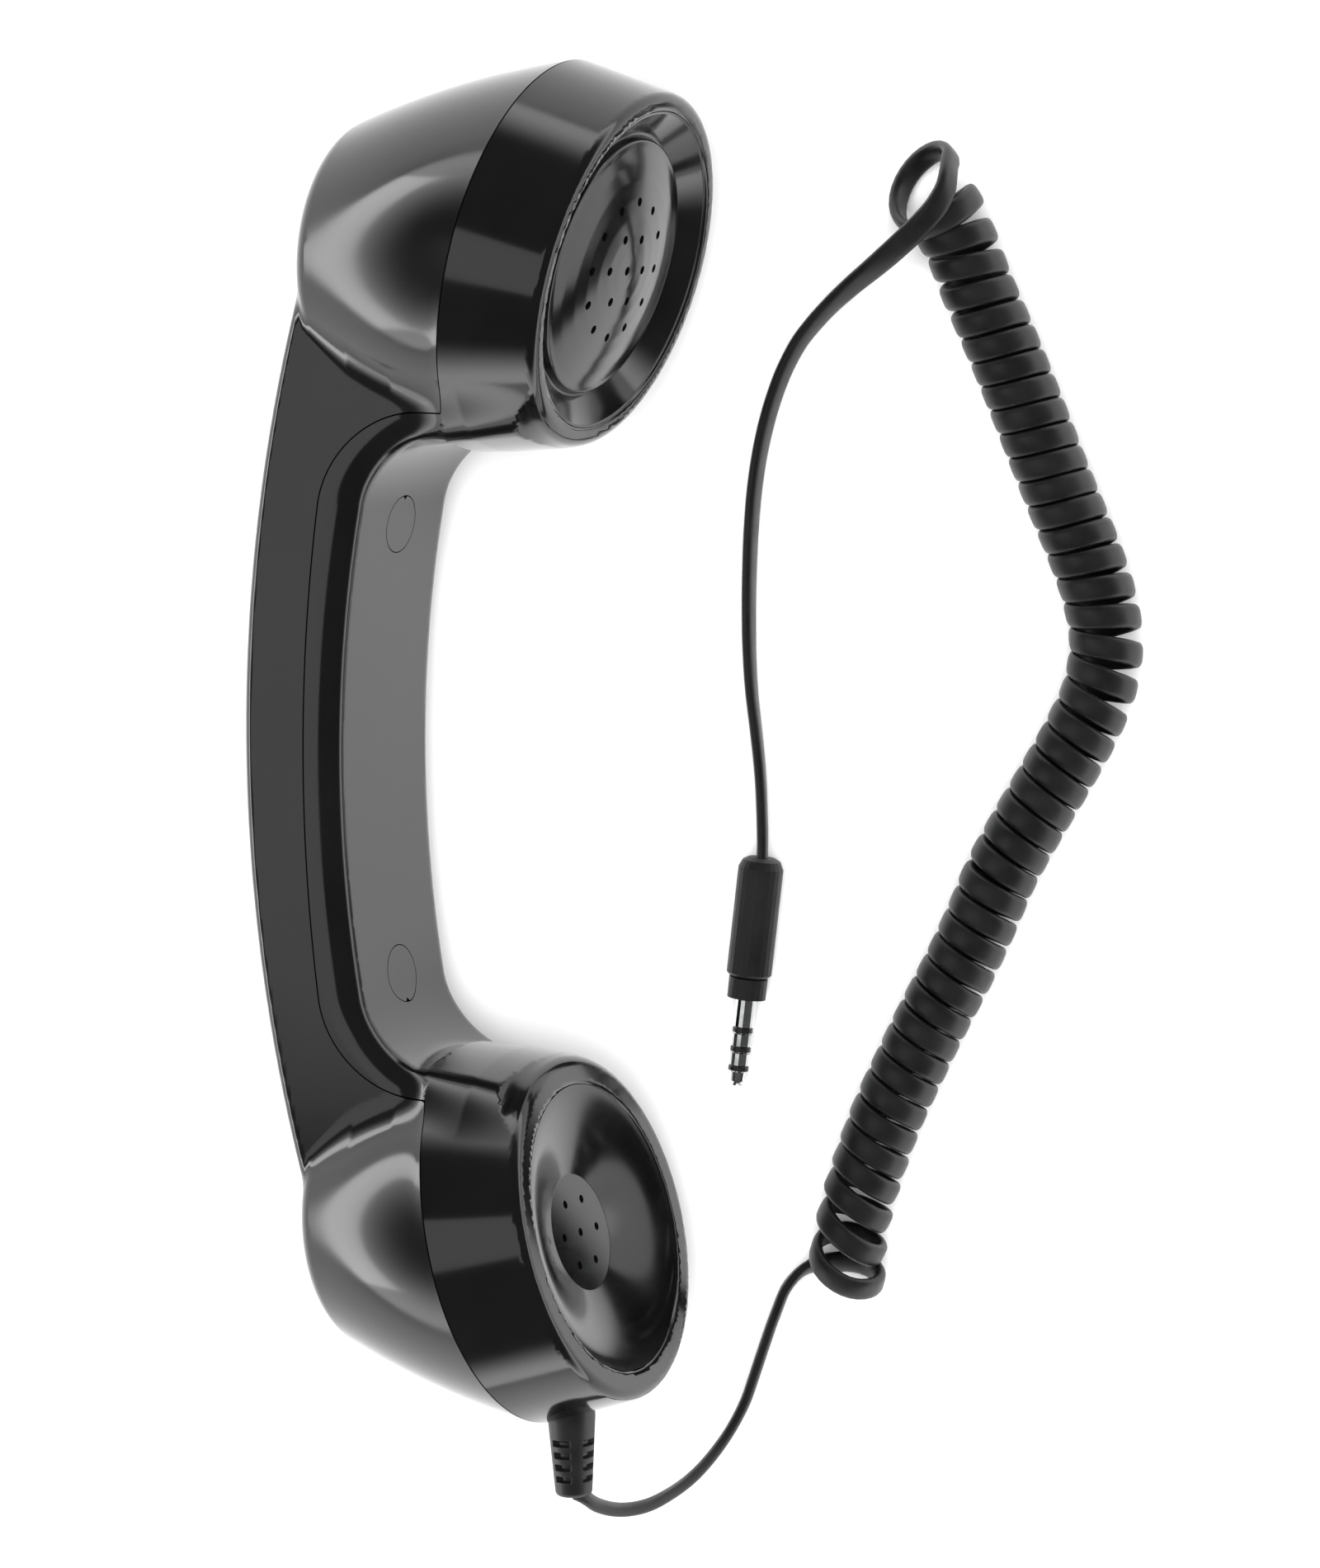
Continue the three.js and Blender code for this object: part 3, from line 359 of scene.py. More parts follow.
@dataclass(frozen=True)
class Lay:
    """How the handset's own frame lies in the part's frame."""

    roll: float = 20.0  # degrees that it leans back onto its heads
    weight_centre: tuple[float, float, float] = (-9.915, 0.0, 0.0)  # the balance weight's middle, own frame

    def turn(self) -> Array:
        """The rotation from the handset's frame to the part's."""
        angle = math.radians(self.roll)
        return np.array([[math.cos(angle), 0, -math.sin(angle)], [0, 1, 0], [math.sin(angle), 0, math.cos(angle)]])

    def shift(self) -> Array:
        """Where the handset's own origin is in the part's frame, in millimetres."""
        low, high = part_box("balance_weight")
        middle = (np.array(low) + np.array(high)) / 2 / MM
        return middle - self.turn() @ np.array(self.weight_centre)

    def to_part(self, points: Array) -> Array:
        """Moves points from the handset's frame to the part's, in millimetres."""
        return points @ self.turn().T + self.shift()

    def directions(self, vectors: Array) -> Array:
        """Turns directions from the handset's frame to the part's."""
        return vectors @ self.turn().T


LAY = Lay()


def make_piece(name: str, points_mm: Array, faces: Array, look: Look, replaces: Sequence[str] = (),
               corners: Optional[Array] = None, sharp: float = 35.0) -> bpy.types.Object:
    """Makes a piece that rides on the part.

    Args:
        name: the piece's name.
        points_mm: points in the part's frame, millimetres.
        faces: triangles.
        look: its finish.
        replaces: CAD nodes that it stands for.
        corners: a normal for each corner of each face.
        sharp: edges that turn more than this many degrees stay sharp where corners aren't given.

    Returns:
        The object.
    """
    mesh = bpy.data.meshes.new(name)
    mesh.from_pydata((points_mm * MM).tolist(), [], faces.tolist())
    mesh.update()
    mesh.polygons.foreach_set("use_smooth", [True] * len(mesh.polygons))
    if corners is None:
        mesh.set_sharp_from_angle(angle=math.radians(sharp))
    else:
        mesh.normals_split_custom_set(corners.reshape(-1, 3).tolist())
    mesh.materials.append(look.material())
    piece = bpy.data.objects.new(name, mesh)
    bpy.context.scene.collection.objects.link(piece)
    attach(piece, BODY)
    if replaces:
        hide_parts(*replaces)
    log.info("%s: %d faces", name, len(faces))
    return piece


def shell_piece(name: str, surface: Surface, wall: float, look: Look, replaces: Sequence[str]) -> bpy.types.Object:
    """Makes a walled piece from a skin in the handset's frame.

    Args:
        name: the piece's name.
        surface: its outer skin.
        wall: thickness in millimetres.
        look: its finish.
        replaces: CAD nodes that it stands for.

    Returns:
        The object.
    """
    points, faces, corners = thicken(surface, wall)
    return make_piece(name, LAY.to_part(points), faces, look, replaces,
                      LAY.directions(corners.reshape(-1, 3)))


def rounded_line(corners: Sequence[tuple[float, float, float]], step: float = 0.25) -> Array:
    """A polyline with its corners rounded.

    Args:
        corners: (x, y, radius) of each corner, with radius 0 where it stays sharp.
        step: the spacing of the points on the straight parts.

    Returns:
        Points along the line.
    """
    points = [np.array(corners[0][:2], float)]
    for i in range(1, len(corners) - 1):
        before, here, after = (np.array(corners[k][:2], float) for k in (i - 1, i, i + 1))
        radius = corners[i][2]
        if radius <= 0:
            points.append(here)
            continue
        to_before, to_after = unit(before - here), unit(after - here)
        half = math.acos(float(np.clip(to_before @ to_after, -1, 1))) / 2
        room = min(np.linalg.norm(before - here), np.linalg.norm(after - here))
        reach = min(radius / math.tan(half), 0.45 * room)
        start, end = here + reach * to_before, here + reach * to_after
        for share in np.linspace(0, 1, 7):
            points.append((1 - share) ** 2 * start + 2 * share * (1 - share) * here + share ** 2 * end)
    points.append(np.array(corners[-1][:2], float))
    dense = [points[0]]
    for a, b in zip(points, points[1:]):
        parts = max(1, int(np.linalg.norm(b - a) / step))
        dense += [a + (b - a) * k / parts for k in range(1, parts + 1)]
    return np.array(dense)


def lathe(profile: Array, segments: int) -> Surface:
    """A surface of revolution about +Y that starts at a point on the axis.

    Args:
        profile: (radius, height) points, the first on the axis.
        segments: facets round it.

    Returns:
        The surface as triangles, facing away from the axis where the profile rises.
    """
    angles = 2 * np.pi * np.arange(segments) / segments
    rings = profile[1:]
    points = np.stack([
        np.outer(rings[:, 0], np.sin(angles)), np.repeat(rings[:, 1][:, None], segments, 1),
        np.outer(rings[:, 0], np.cos(angles))], -1).reshape(-1, 3)
    points = np.vstack([points, [[0, profile[0, 1], 0]]])
    faces = np.vstack([ring_faces(len(rings), segments), cap_faces(len(points) - 1, np.arange(segments), False)])
    return Surface(points, faces, point_normals(points, faces))


def aim(surface: Surface, at: Array, direction: Array) -> Surface:
    """Moves a surface of revolution so that its +Y runs along direction from at.

    Args:
        surface: the surface about +Y.
        at: where its origin goes.
        direction: where +Y goes.

    Returns:
        The moved surface.
    """
    turn = np.array(Vector((0, 1, 0)).rotation_difference(Vector(direction.tolist())).to_matrix())
    return Surface(surface.points @ turn.T + at, surface.faces, surface.normals @ turn.T)


# ---- The handset's form ---------------------------------------------------------------------------------------------
def round_max(a: Array, b: Array, radius: float) -> Array:
    """Where two bodies meet, with the outer edge rounded."""
    return np.minimum(-radius, np.maximum(a, b)) + np.hypot(np.maximum(a + radius, 0), np.maximum(b + radius, 0))


def round_min(a: Array, b: Array, radius: float) -> Array:
    """Two bodies joined, with the inner corner filleted."""
    return np.maximum(radius, np.minimum(a, b)) - np.hypot(np.maximum(radius - a, 0), np.maximum(radius - b, 0))


def soft_min(a: Array, b: Array, reach: Array) -> Array:
    """Two bodies joined with a soft blend that reaches so far."""
    share = np.clip(0.5 + 0.5 * (b - a) / reach, 0, 1)
    return b + (a - b) * share - reach * share * (1 - share)


def bow_x(y: float, mid_x: float, mid_y: float, radius: float) -> float:
    """Depth of a long bowed face at y."""
    return mid_x + radius - math.sqrt(radius * radius - (y - mid_y) ** 2)


@dataclass(frozen=True)
class Head:
    """One of the two heads: rim, parting plane, and the small flat end behind it."""

    side: int  # 1 at the earpiece's end, -1 at the mouthpiece's
    rim: tuple[float, float]  # the rim's middle in the side view
    tilt: float  # how far the cup turns in towards the mouth or ear, degrees
    rim_radius: float
    seam_radius: float  # at the parting plane
    outer_stretch: float  # how much longer the parting plane's section is, away from the grip
    inner_stretch: float  # and towards it
    back: tuple[float, float]  # the small flat end's middle
    back_radius: float
    bulge: float  # how far the cone behind the parting plane swells
    bore: float  # the cup's radius inside the rim
    seam_depth: float = 17.5  # rim to parting plane
    back_tilt: float = 4.3
    rim_edge: float = 1.4
    back_corner: float = 3.0
    bore_edge: float = 0.8
    bore_depth: float = 4.0

    def forward(self, tilt: Any) -> tuple[Any, Any]:
        """The direction out of the cup at a tilt in degrees."""
        return np.cos(np.radians(tilt)), -self.side * np.sin(np.radians(tilt))

    def outward(self, tilt: Any) -> tuple[Any, Any]:
        """The direction away from the grip at a tilt in degrees."""
        return np.sin(np.radians(tilt)), self.side * np.cos(np.radians(tilt))

    def on_axis(self, depth: float) -> tuple[float, float]:
        """A point on the cup's axis at a depth behind the rim."""
        fx, fy = self.forward(self.tilt)
        return self.rim[0] - depth * fx, self.rim[1] - depth * fy

    def depth_at(self, x: Array, y: Array) -> Array:
        """Depth behind the rim plane."""
        fx, fy = self.forward(self.tilt)
        return -((x - self.rim[0]) * fx + (y - self.rim[1]) * fy)

    def off_axis(self, x: Array, y: Array, z: Array) -> Array:
        """Distance from the cup's axis."""
        ox, oy = self.outward(self.tilt)
        return np.hypot((x - self.rim[0]) * ox + (y - self.rim[1]) * oy, z)

    def drum_point(self, station: float, way: int, sink: float = 0.0) -> tuple[float, float]:
        """Finds the drum's furthest point in the side view.

        Args:
            station: 0 at the rim to 1 at the parting plane.
            way: 1 away from the grip, -1 towards it.
            sink: how far inside the drum the point is, mm.

        Returns:
            The point.
        """
        cx, cy = self.on_axis(station * self.seam_depth)
        ox, oy = self.outward(self.tilt)
        radius = self.rim_radius + (self.seam_radius - self.rim_radius) * station
        stretch = 1 + ((self.outer_stretch if way > 0 else self.inner_stretch) - 1) * station
        reach = way * (radius * stretch - sink)
        return cx + reach * ox, cy + reach * oy

    def inside_point(self) -> tuple[float, float]:
        """A point well inside the head, just behind the parting plane."""
        sx, sy = self.on_axis(self.seam_depth)
        return sx + 0.1 * (self.back[0] - sx), sy + 0.1 * (self.back[1] - sy)

    def value(self, x: Array, y: Array, z: Array) -> Array:
        """Works out the signed distance to the solid head, roughly.

        Args:
            x: depths.
            y: lengths.
            z: widths.

        Returns:
            The distance, millimetres.
        """
        furthest = 1.3  # how far past the back end the cone is carried on, as a share of its length
        depth = self.depth_at(x, y)
        sx, sy = self.on_axis(self.seam_depth)
        length = math.hypot(self.back[0] - sx, self.back[1] - sy)
        s = (depth - self.seam_depth) / length
        for _ in range(4):
            held = np.clip(s, 0, furthest)
            cx, cy = sx + (self.back[0] - sx) * held, sy + (self.back[1] - sy) * held
            fx, fy = self.forward(self.tilt + (self.back_tilt - self.tilt) * held)
            s = held - ((x - cx) * fx + (y - cy) * fy) / length
        behind = depth > self.seam_depth
        s = np.clip(s, 0, furthest)
        t = np.clip(depth / self.seam_depth, -0.5, 1)
        ends = np.minimum(s, 1)
        cx = np.where(behind, sx + (self.back[0] - sx) * s, self.rim[0] - depth * self.forward(self.tilt)[0])
        cy = np.where(behind, sy + (self.back[1] - sy) * s, self.rim[1] - depth * self.forward(self.tilt)[1])
        ox, oy = self.outward(np.where(behind, self.tilt + (self.back_tilt - self.tilt) * s, self.tilt))
        across = (x - cx) * ox + (y - cy) * oy
        radius = np.where(
            behind,
            self.seam_radius + (self.back_radius - self.seam_radius) * s + self.bulge * np.sin(np.pi * ends),
            self.rim_radius + (self.seam_radius - self.rim_radius) * t)
        outer = np.where(behind, self.outer_stretch + (1 - self.outer_stretch) * ends,
                         1 + (self.outer_stretch - 1) * t)
        inner = np.where(behind, self.inner_stretch + (1 - self.inner_stretch) * np.sqrt(ends),
                         1 + (self.inner_stretch - 1) * t)
        stretch = np.where(across > 0, outer, inner)
        side = np.hypot(across / stretch, z) - radius
        front = round_max(side, -depth, self.rim_edge)
        return round_max(front, np.where(behind, length * (s - 1), -length), self.back_corner)

    def bore_value(self, x: Array, y: Array, z: Array) -> Array:
        """Signed distance to the cup's shallow bore."""
        return np.maximum(self.off_axis(x, y, z) - self.bore, self.depth_at(x, y) - self.bore_depth)


EAR = Head(side=1, rim=(46.2, 77.6), tilt=15.2, rim_radius=29.6, seam_radius=29.8, outer_stretch=1.03,
           inner_stretch=1.18, back=(-4.9, 80.6), back_radius=20.4, bulge=1.2, bore=26.5)
MOUTH = Head(side=-1, rim=(42.3, -80.1), tilt=15.1, rim_radius=28.8, seam_radius=29.6, outer_stretch=1.01,
             inner_stretch=1.16, back=(-5.2, -81.9), back_radius=20.2, bulge=1.0, bore=24.0)


@dataclass
class Form:
    """The outside of the handset as a signed distance, and its parting line."""

    half_width: float = 17.6
    back_x: float = -16.4  # the back face at mid-length
    back_radius: float = 269.0
    back_end_y: float = 76.0  # where the back face turns in behind each head
    back_edge: float = 2.0
    front_x: float = 1.0  # the front face at its middle
    front_radius: float = 225.0
    front_mid_y: float = -3.0
    shoulder_depth: float = 5.5  # the rounded shoulder between front face and sides
    shoulder_width: float = 3.5
    shoulder_edge: float = 1.0  # how round it is, in shares of its depth and width
    shoulder_scale: float = 4.4  # turns those shares back to millimetres
    front_fillet: float = 9.0  # front face to drum
    fillet_end: float = 0.4
    fillet_sink: float = 5.0
    cap_share: float = 0.4  # the handle ends inside each drum, this share of the way to the parting plane
    # How far the blend between handle and heads reaches at each depth: depth, reach
    blend: tuple[tuple[float, float], ...] = ((-6, 0.9), (4, 3.2), (12, 3.2), (26, 6.7))
    seam_x: float = -4.8  # the parting line at the handle's middle
    seam_radius: float = 300.0
    seam_fillet: float = 15.5
    seam_gap: float = 0.26
    wall: float = 2.2
    cell: float = 0.8  # of the grid in which the outside is found
    grid_low: tuple[float, float] = (-19.0, -117.0)
    grid_high: tuple[float, float] = (57.0, 115.5)
    grid_half_width: float = 34.0
    cover_radius: float = 4.75
    cover_y: dict[str, float] = field(default_factory=lambda: {"ear": 35.3, "mouth": -40.1})
    boot_x: float = 35.7
    boot_tilt: float = 2.0
    boot_bore: float = 4.15

    def line_value(self, x: Array, y: Array, a: tuple[float, float], b: tuple[float, float], side: int) -> Array:
        """Works out the signed distance to a line in the side view.

        Args:
            x: depths.
            y: lengths.
            a: a point on the line.
            b: a second one.
            side: 1 at the earpiece's end, -1 at the mouthpiece's.

        Returns:
            The distance, positive towards the grip.
        """
        ux, uy = unit(np.array(b) - np.array(a))
        return side * ((x - a[0]) * uy - (y - a[1]) * ux)

    def front_value(self, x: Array, y: Array) -> Array:
        """Works out the signed distance to the grip's front in the side view, with its fillets to the drums.

        Args:
            x: depths.
            y: lengths.

        Returns:
            The distance.
        """
        value = self.front_radius - np.hypot(x - self.front_x - self.front_radius, y - self.front_mid_y)
        for head in (EAR, MOUTH):
            corner_y = head.drum_point(1, -1)[1]
            corner = (bow_x(corner_y, self.front_x, self.front_mid_y, self.front_radius), corner_y)
            line = self.line_value(x, y, corner, head.drum_point(self.fillet_end, -1, self.fillet_sink), head.side)
            value = round_min(value, line, self.front_fillet)
        return value

    def handle_value(self, x: Array, y: Array, z: Array) -> Array:
        """Works out the signed distance to the handle.

        Args:
            x: depths.
            y: lengths.
            z: widths.

        Returns:
            The distance.
        """
        back = np.hypot(x - self.back_x - self.back_radius, y) - self.back_radius
        sides = np.abs(z) - self.half_width
        front = self.front_value(x, y)
        body = round_max(back, sides, self.back_edge)
        shoulder = self.shoulder_scale * round_max(
            front / self.shoulder_depth, sides / self.shoulder_width, self.shoulder_edge)
        value = np.maximum(body, shoulder)
        for head in (EAR, MOUTH):
            near = head.side * y > 0
            cap = np.where(near, self.cap_share * head.seam_depth - head.depth_at(x, y), DEEP)
            end_y = head.side * self.back_end_y
            start = (bow_x(end_y, self.back_x, 0, self.back_radius), end_y)
            end = -self.line_value(x, y, start, head.inside_point(), head.side)
            value = np.maximum(value, np.maximum(cap, np.where(near, end, DEEP)))
        return value

    def value(self, points: Array) -> Array:
        """Works out the signed distance to the whole outside, with the cups' bores.

        Args:
            points: points in the handset's frame.

        Returns:
            The distance at each.
        """
        x, y, z = points[..., 0], points[..., 1], points[..., 2]
        reach = np.interp(x, *zip(*self.blend))
        value = self.handle_value(x, y, z)
        for head in (EAR, MOUTH):
            value = soft_min(value, head.value(x, y, z), reach)
        for head in (EAR, MOUTH):
            value = round_max(value, -head.bore_value(x, y, z), head.bore_edge)
        return value

    def slope(self, points: Array) -> Array:
        """The direction and rate in which the value grows."""
        return np.stack([(self.value(points + nudge) - self.value(points - nudge)) / (2 * NUDGE)
                         for nudge in NUDGE * np.eye(3)], -1)

    def settle(self, points: Array, rounds: int = 3) -> Array:
        """Moves points onto the outside.

        Args:
            points: points near it.
            rounds: how many steps they take.

        Returns:
            The moved points.
        """
        flattest, longest = 0.05, 0.6
        for _ in range(rounds):
            slope = self.slope(points)
            scale = np.maximum((slope ** 2).sum(-1, keepdims=True), flattest)
            points = points - np.clip(self.value(points)[..., None] / scale, -longest, longest) * slope
        return points

    def seam_value(self, points: Array) -> Array:
        """Works out how far points are in front of the parting line in the side view.

        Args:
            points: points in the handset's frame.

        Returns:
            The distance at each.
        """
        x, y = points[..., 0], points[..., 1]
        value = self.seam_radius - np.hypot(x - self.seam_x - self.seam_radius, y - self.front_mid_y)
        for head in (EAR, MOUTH):
            sx, sy = head.on_axis(head.seam_depth)
            fx, fy = head.forward(head.tilt)
            ox, oy = head.outward(head.tilt)
            reach = math.sqrt(head.seam_radius ** 2 - self.half_width ** 2) * head.inner_stretch
            inner_y = sy - reach * oy
            plane = (x - sx) * fx + (y - sy) * fy
            ahead = np.maximum(plane, head.side * (inner_y - y))
            value = -round_max(-value, -ahead, self.seam_fillet)
        return value

    def own_side(self, surface: Surface, side: int) -> Surface:
        """Settles a half's edge on its own side of the parting line, where the outside has a corner.

        Args:
            surface: the half.
            side: 1 for the front half, -1 for the back.

        Returns:
            The half with the points and normals along its edge set right.
        """
        span = 0.7
        value = side * self.seam_value(surface.points)
        near = value < span
        points, normals = surface.points.copy(), surface.normals.copy()
        edge = self.settle(points[near], 2)
        slope = [(self.seam_value(edge + nudge) - self.seam_value(edge - nudge)) / (2 * NUDGE)
                 for nudge in NUDGE * np.eye(3)]
        push = np.stack(slope, -1) * side * (span - value[near])[:, None]
        points[near] = edge
        normals[near] = unit(self.slope(edge + push))
        return Surface(points, surface.faces, normals)

    def skin(self) -> Surface:
        """Draws the whole outside.

        Returns:
            One triangle surface in the handset's frame.
        """
        xs, ys = (np.arange(low, high, self.cell) for low, high in zip(self.grid_low, self.grid_high))
        half = np.arange(0, self.grid_half_width, self.cell) + self.cell / 2
        grid = np.stack(np.meshgrid(xs, ys, half, indexing="ij"), -1)
        values = self.value(grid)
        values = np.concatenate([values[:, :, ::-1], values], axis=2)
        zs = np.concatenate([-half[::-1], half])
        points, quads = surface_nets(values, xs, ys, zs)
        points = self.settle(points)
        faces = triangles_of(quads)
        return Surface(points, faces, unit(self.slope(points)))

    def seat(self, name: str) -> tuple[Array, Array]:
        """Finds a screw cover's place on the front face.

        Args:
            name: "ear" or "mouth".

        Returns:
            Its middle, and the direction out of the face.
        """
        y = self.cover_y[name]
        slope = (y - self.front_mid_y) / self.front_radius
        middle = np.array([bow_x(y, self.front_x, self.front_mid_y, self.front_radius), y, 0.0])
        return middle, unit(np.array([1.0, -slope, 0.0]))

    def boot_place(self) -> tuple[Array, Array]:
        """Finds where the strain relief leaves the mouth drum.

        Returns:
            The middle of its base, and its direction.
        """
        rim, seam = np.array(MOUTH.drum_point(0, 1)), np.array(MOUTH.drum_point(1, 1))
        share = (rim[0] - self.boot_x) / (rim[0] - seam[0])
        base = rim + share * (seam - rim)
        tilt = math.radians(self.boot_tilt)
        return np.array([base[0], base[1], 0.0]), np.array([math.sin(tilt), -math.cos(tilt), 0.0])


def surface_nets(values: Array, xs: Array, ys: Array, zs: Array) -> tuple[Array, Array]:
    """Draws the zero surface of a grid of signed distances.

    Args:
        values: the distance at each grid point.
        xs: grid positions along x.
        ys: grid positions along y.
        zs: grid positions along z.

    Returns:
        Points and quads that face the positive side.
    """
    inside = values < 0
    corners = [(i, j, k) for i in (0, 1) for j in (0, 1) for k in (0, 1)]
    nx, ny, nz = (n - 1 for n in values.shape)
    stack = [inside[i:i + nx, j:j + ny, k:k + nz] for i, j, k in corners]
    some, every = np.zeros_like(stack[0]), np.ones_like(stack[0])
    for part in stack:
        some |= part
        every &= part
    cells = np.argwhere(some & ~every)
    number = np.full((nx, ny, nz), -1, dtype=np.int64)
    number[tuple(cells.T)] = np.arange(len(cells))
    at = {c: values[cells[:, 0] + c[0], cells[:, 1] + c[1], cells[:, 2] + c[2]] for c in corners}
    total, count = np.zeros((len(cells), 3)), np.zeros((len(cells), 1))
    for a in corners:
        for axis in range(3):
            if a[axis]:
                continue
            b = tuple(1 if k == axis else a[k] for k in range(3))
            va, vb = at[a], at[b]
            crossing = (va < 0) != (vb < 0)
            share = np.where(crossing, va / np.where(crossing, va - vb, 1), 0)
            place = np.tile(np.array(a, float), (len(cells), 1))
            place[:, axis] = share
            total += np.where(crossing[:, None], place, 0)
            count += crossing[:, None]
    step = np.array([xs[1] - xs[0], ys[1] - ys[0], zs[1] - zs[0]])
    points = np.array([xs[0], ys[0], zs[0]]) + (cells + total / count) * step
    quads = []
    size = values.shape
    for axis in range(3):
        u, v = (axis + 1) % 3, (axis + 2) % 3
        here, ahead = [slice(None)] * 3, [slice(None)] * 3
        here[axis], ahead[axis] = slice(0, -1), slice(1, None)
        first, second = inside[tuple(here)], inside[tuple(ahead)]
        edges = np.argwhere(first != second)
        for side in (u, v):
            edges = edges[(edges[:, side] > 0) & (edges[:, side] < size[side] - 1)]
        ring = []
        for du, dv in ((-1, -1), (0, -1), (0, 0), (-1, 0)):
            cell = edges.copy()
            cell[:, u] += du
            cell[:, v] += dv
            ring.append(number[tuple(cell.T)])
        quad = np.stack(ring, 1)
        flip = second[tuple(edges.T)]
        quad[flip] = quad[flip][:, ::-1]
        quads.append(quad)
    return points, np.vstack(quads)


FORM = Form()


# ---- Shells, covers and cups ----------------------------------------------------------------------------------------
def off_line(points: Array, at: Array, direction: Array) -> Array:
    """Distance from a line."""
    offset = points - at
    return np.linalg.norm(offset - (offset @ direction)[..., None] * direction, axis=-1)


@dataclass
class Shells:
    """The two halves of the case and the two screw covers, cut from one skin."""

    cover_gap: float = 0.16
    cover_wall: float = 1.4
    cover_reach: float = 3.0  # how near to the face's plane a point is, to belong to a cover
    notch_radius: float = 0.55  # of the notch for prising a cover out
    bore_wall: float = 3.2  # how deep the wall of a cup's bore is kept; its floor is open
    bore_margin: float = 0.5
    boot_bore_start: float = -6.0  # along the strain relief, from its base

    def build(self) -> None:
        """Makes the pieces."""
        skin = FORM.skin()
        half_gap = FORM.seam_gap / 2
        seam = FORM.seam_value(skin.points)
        front = FORM.own_side(clip(skin, seam - half_gap), 1)
        back = FORM.own_side(clip(skin, -seam - half_gap), -1)
        boot_at, boot_out = FORM.boot_place()
        for head in (EAR, MOUTH):
            x, y, z = front.points.T
            floor = np.maximum(self.bore_wall - head.depth_at(x, y),
                               head.off_axis(x, y, z) - head.bore - self.bore_margin)
            front = clip(front, floor)
        for name in FORM.cover_y:
            at, out = FORM.seat(name)
            side = math.copysign(1, at[1])
            notch = at + np.array([0, side * FORM.cover_radius, 0])
            near = np.abs((front.points - at) @ out) < self.cover_reach
            radius = off_line(front.points, at, out)
            disc = np.where(near, FORM.cover_radius - radius, -1)
            cover = clip(front, disc)
            cover = clip(cover, off_line(cover.points, notch, out) - self.notch_radius)
            shell_piece(f"cover_{name}", cover, self.cover_wall, Look.SHELL, [f"screw_cover_{name}"])
            front = clip(front, np.where(near, radius - FORM.cover_radius - self.cover_gap, 1))
        for name, half, node in (("case_front", front, "front_shell"), ("case_back", back, "back_shell")):
            beyond = (half.points - boot_at) @ boot_out > self.boot_bore_start
            outside = off_line(half.points, boot_at, boot_out) - FORM.boot_bore
            shell_piece(name, clip(half, np.where(beyond, outside, 1)), FORM.wall, Look.SHELL, [node])


@dataclass
class Cup:
    """A cup's dish or funnel: a thin turned plate with sound holes."""

    name: str
    head: Head
    profile: tuple[tuple[float, float, float], ...]  # radius, height, corner radius, from the rim to the axis
    hole_rings: tuple[tuple[int, float, float], ...]  # how many, on what radius, first angle in degrees
    hole_radius: float
    node: str  # the CAD node that it stands for
    wall: float = 1.6
    step: float = 0.4  # between points on the profile
    segments: int = 200

    def build(self) -> None:
        """Makes the plate."""
        plate = lathe(rounded_line(self.profile, self.step)[::-1], self.segments)
        for count, radius, first in self.hole_rings:
            for i in range(count):
                angle = math.radians(first) + 2 * math.pi * i / count
                middle = np.array([radius * math.cos(angle), radius * math.sin(angle)])
                plate = clip(plate, np.hypot(plate.points[:, 0] - middle[0], plate.points[:, 2] - middle[1])
                             - self.hole_radius)
        if plate.normals[:, 1].mean() < 0:
            plate = Surface(plate.points, plate.faces[:, ::-1], -plate.normals)
        placed = aim(plate, np.array([*self.head.rim, 0.0]), np.array([*self.head.forward(self.head.tilt), 0.0]))
        shell_piece(self.name, placed, self.wall, Look.CUP, [self.node])


def dome(radius: float, sphere: float = 88.0) -> float:
    """Height of the earpiece's dome, which is level with the rim at its middle."""
    return math.sqrt(sphere ** 2 - radius ** 2) - sphere


def ear_cup() -> Cup:
    """The earpiece: a shallow cone down to a groove round a low dome with nineteen holes.

    Returns:
        The cup.
    """
    crown = tuple((r, dome(r), 0.0) for r in (20.4, 18.0, 15.0, 12.0, 9.0, 6.0, 3.0, 0.0))
    profile = ((26.56, -0.45, 0.0), (26.2, -0.55, 0.3), (22.2, -4.0, 0.5), (21.7, -4.0, 0.3),
               (21.3, dome(21.3) + 0.1, 0.6), *crown)
    rings = ((1, 0.0, 0.0), (6, 6.0, 90.0), (12, 11.4, 90.0))
    return Cup("ear_dish", EAR, profile, rings, hole_radius=0.75, node="earpiece_dish")


def mouth_cup() -> Cup:
    """The mouthpiece: a bell down to a flat disc with seven holes.

    Returns:
        The cup.
    """
    outer, disc, lip, depth, flare = 24.08, 9.8, 0.35, 5.0, 1.2
    bell = [(outer - (outer - disc) * share, -lip - (depth - lip) * share ** flare, 0.0)
            for share in np.linspace(0, 1, 15)[:-1]]
    profile = (*bell, (disc, -depth, 0.5), (0.0, -depth, 0.0))
    rings = ((1, 0.0, 0.0), (6, 5.95, 90.0))
    return Cup("mouth_funnel", MOUTH, profile, rings, hole_radius=0.7, node="mouthpiece_funnel")


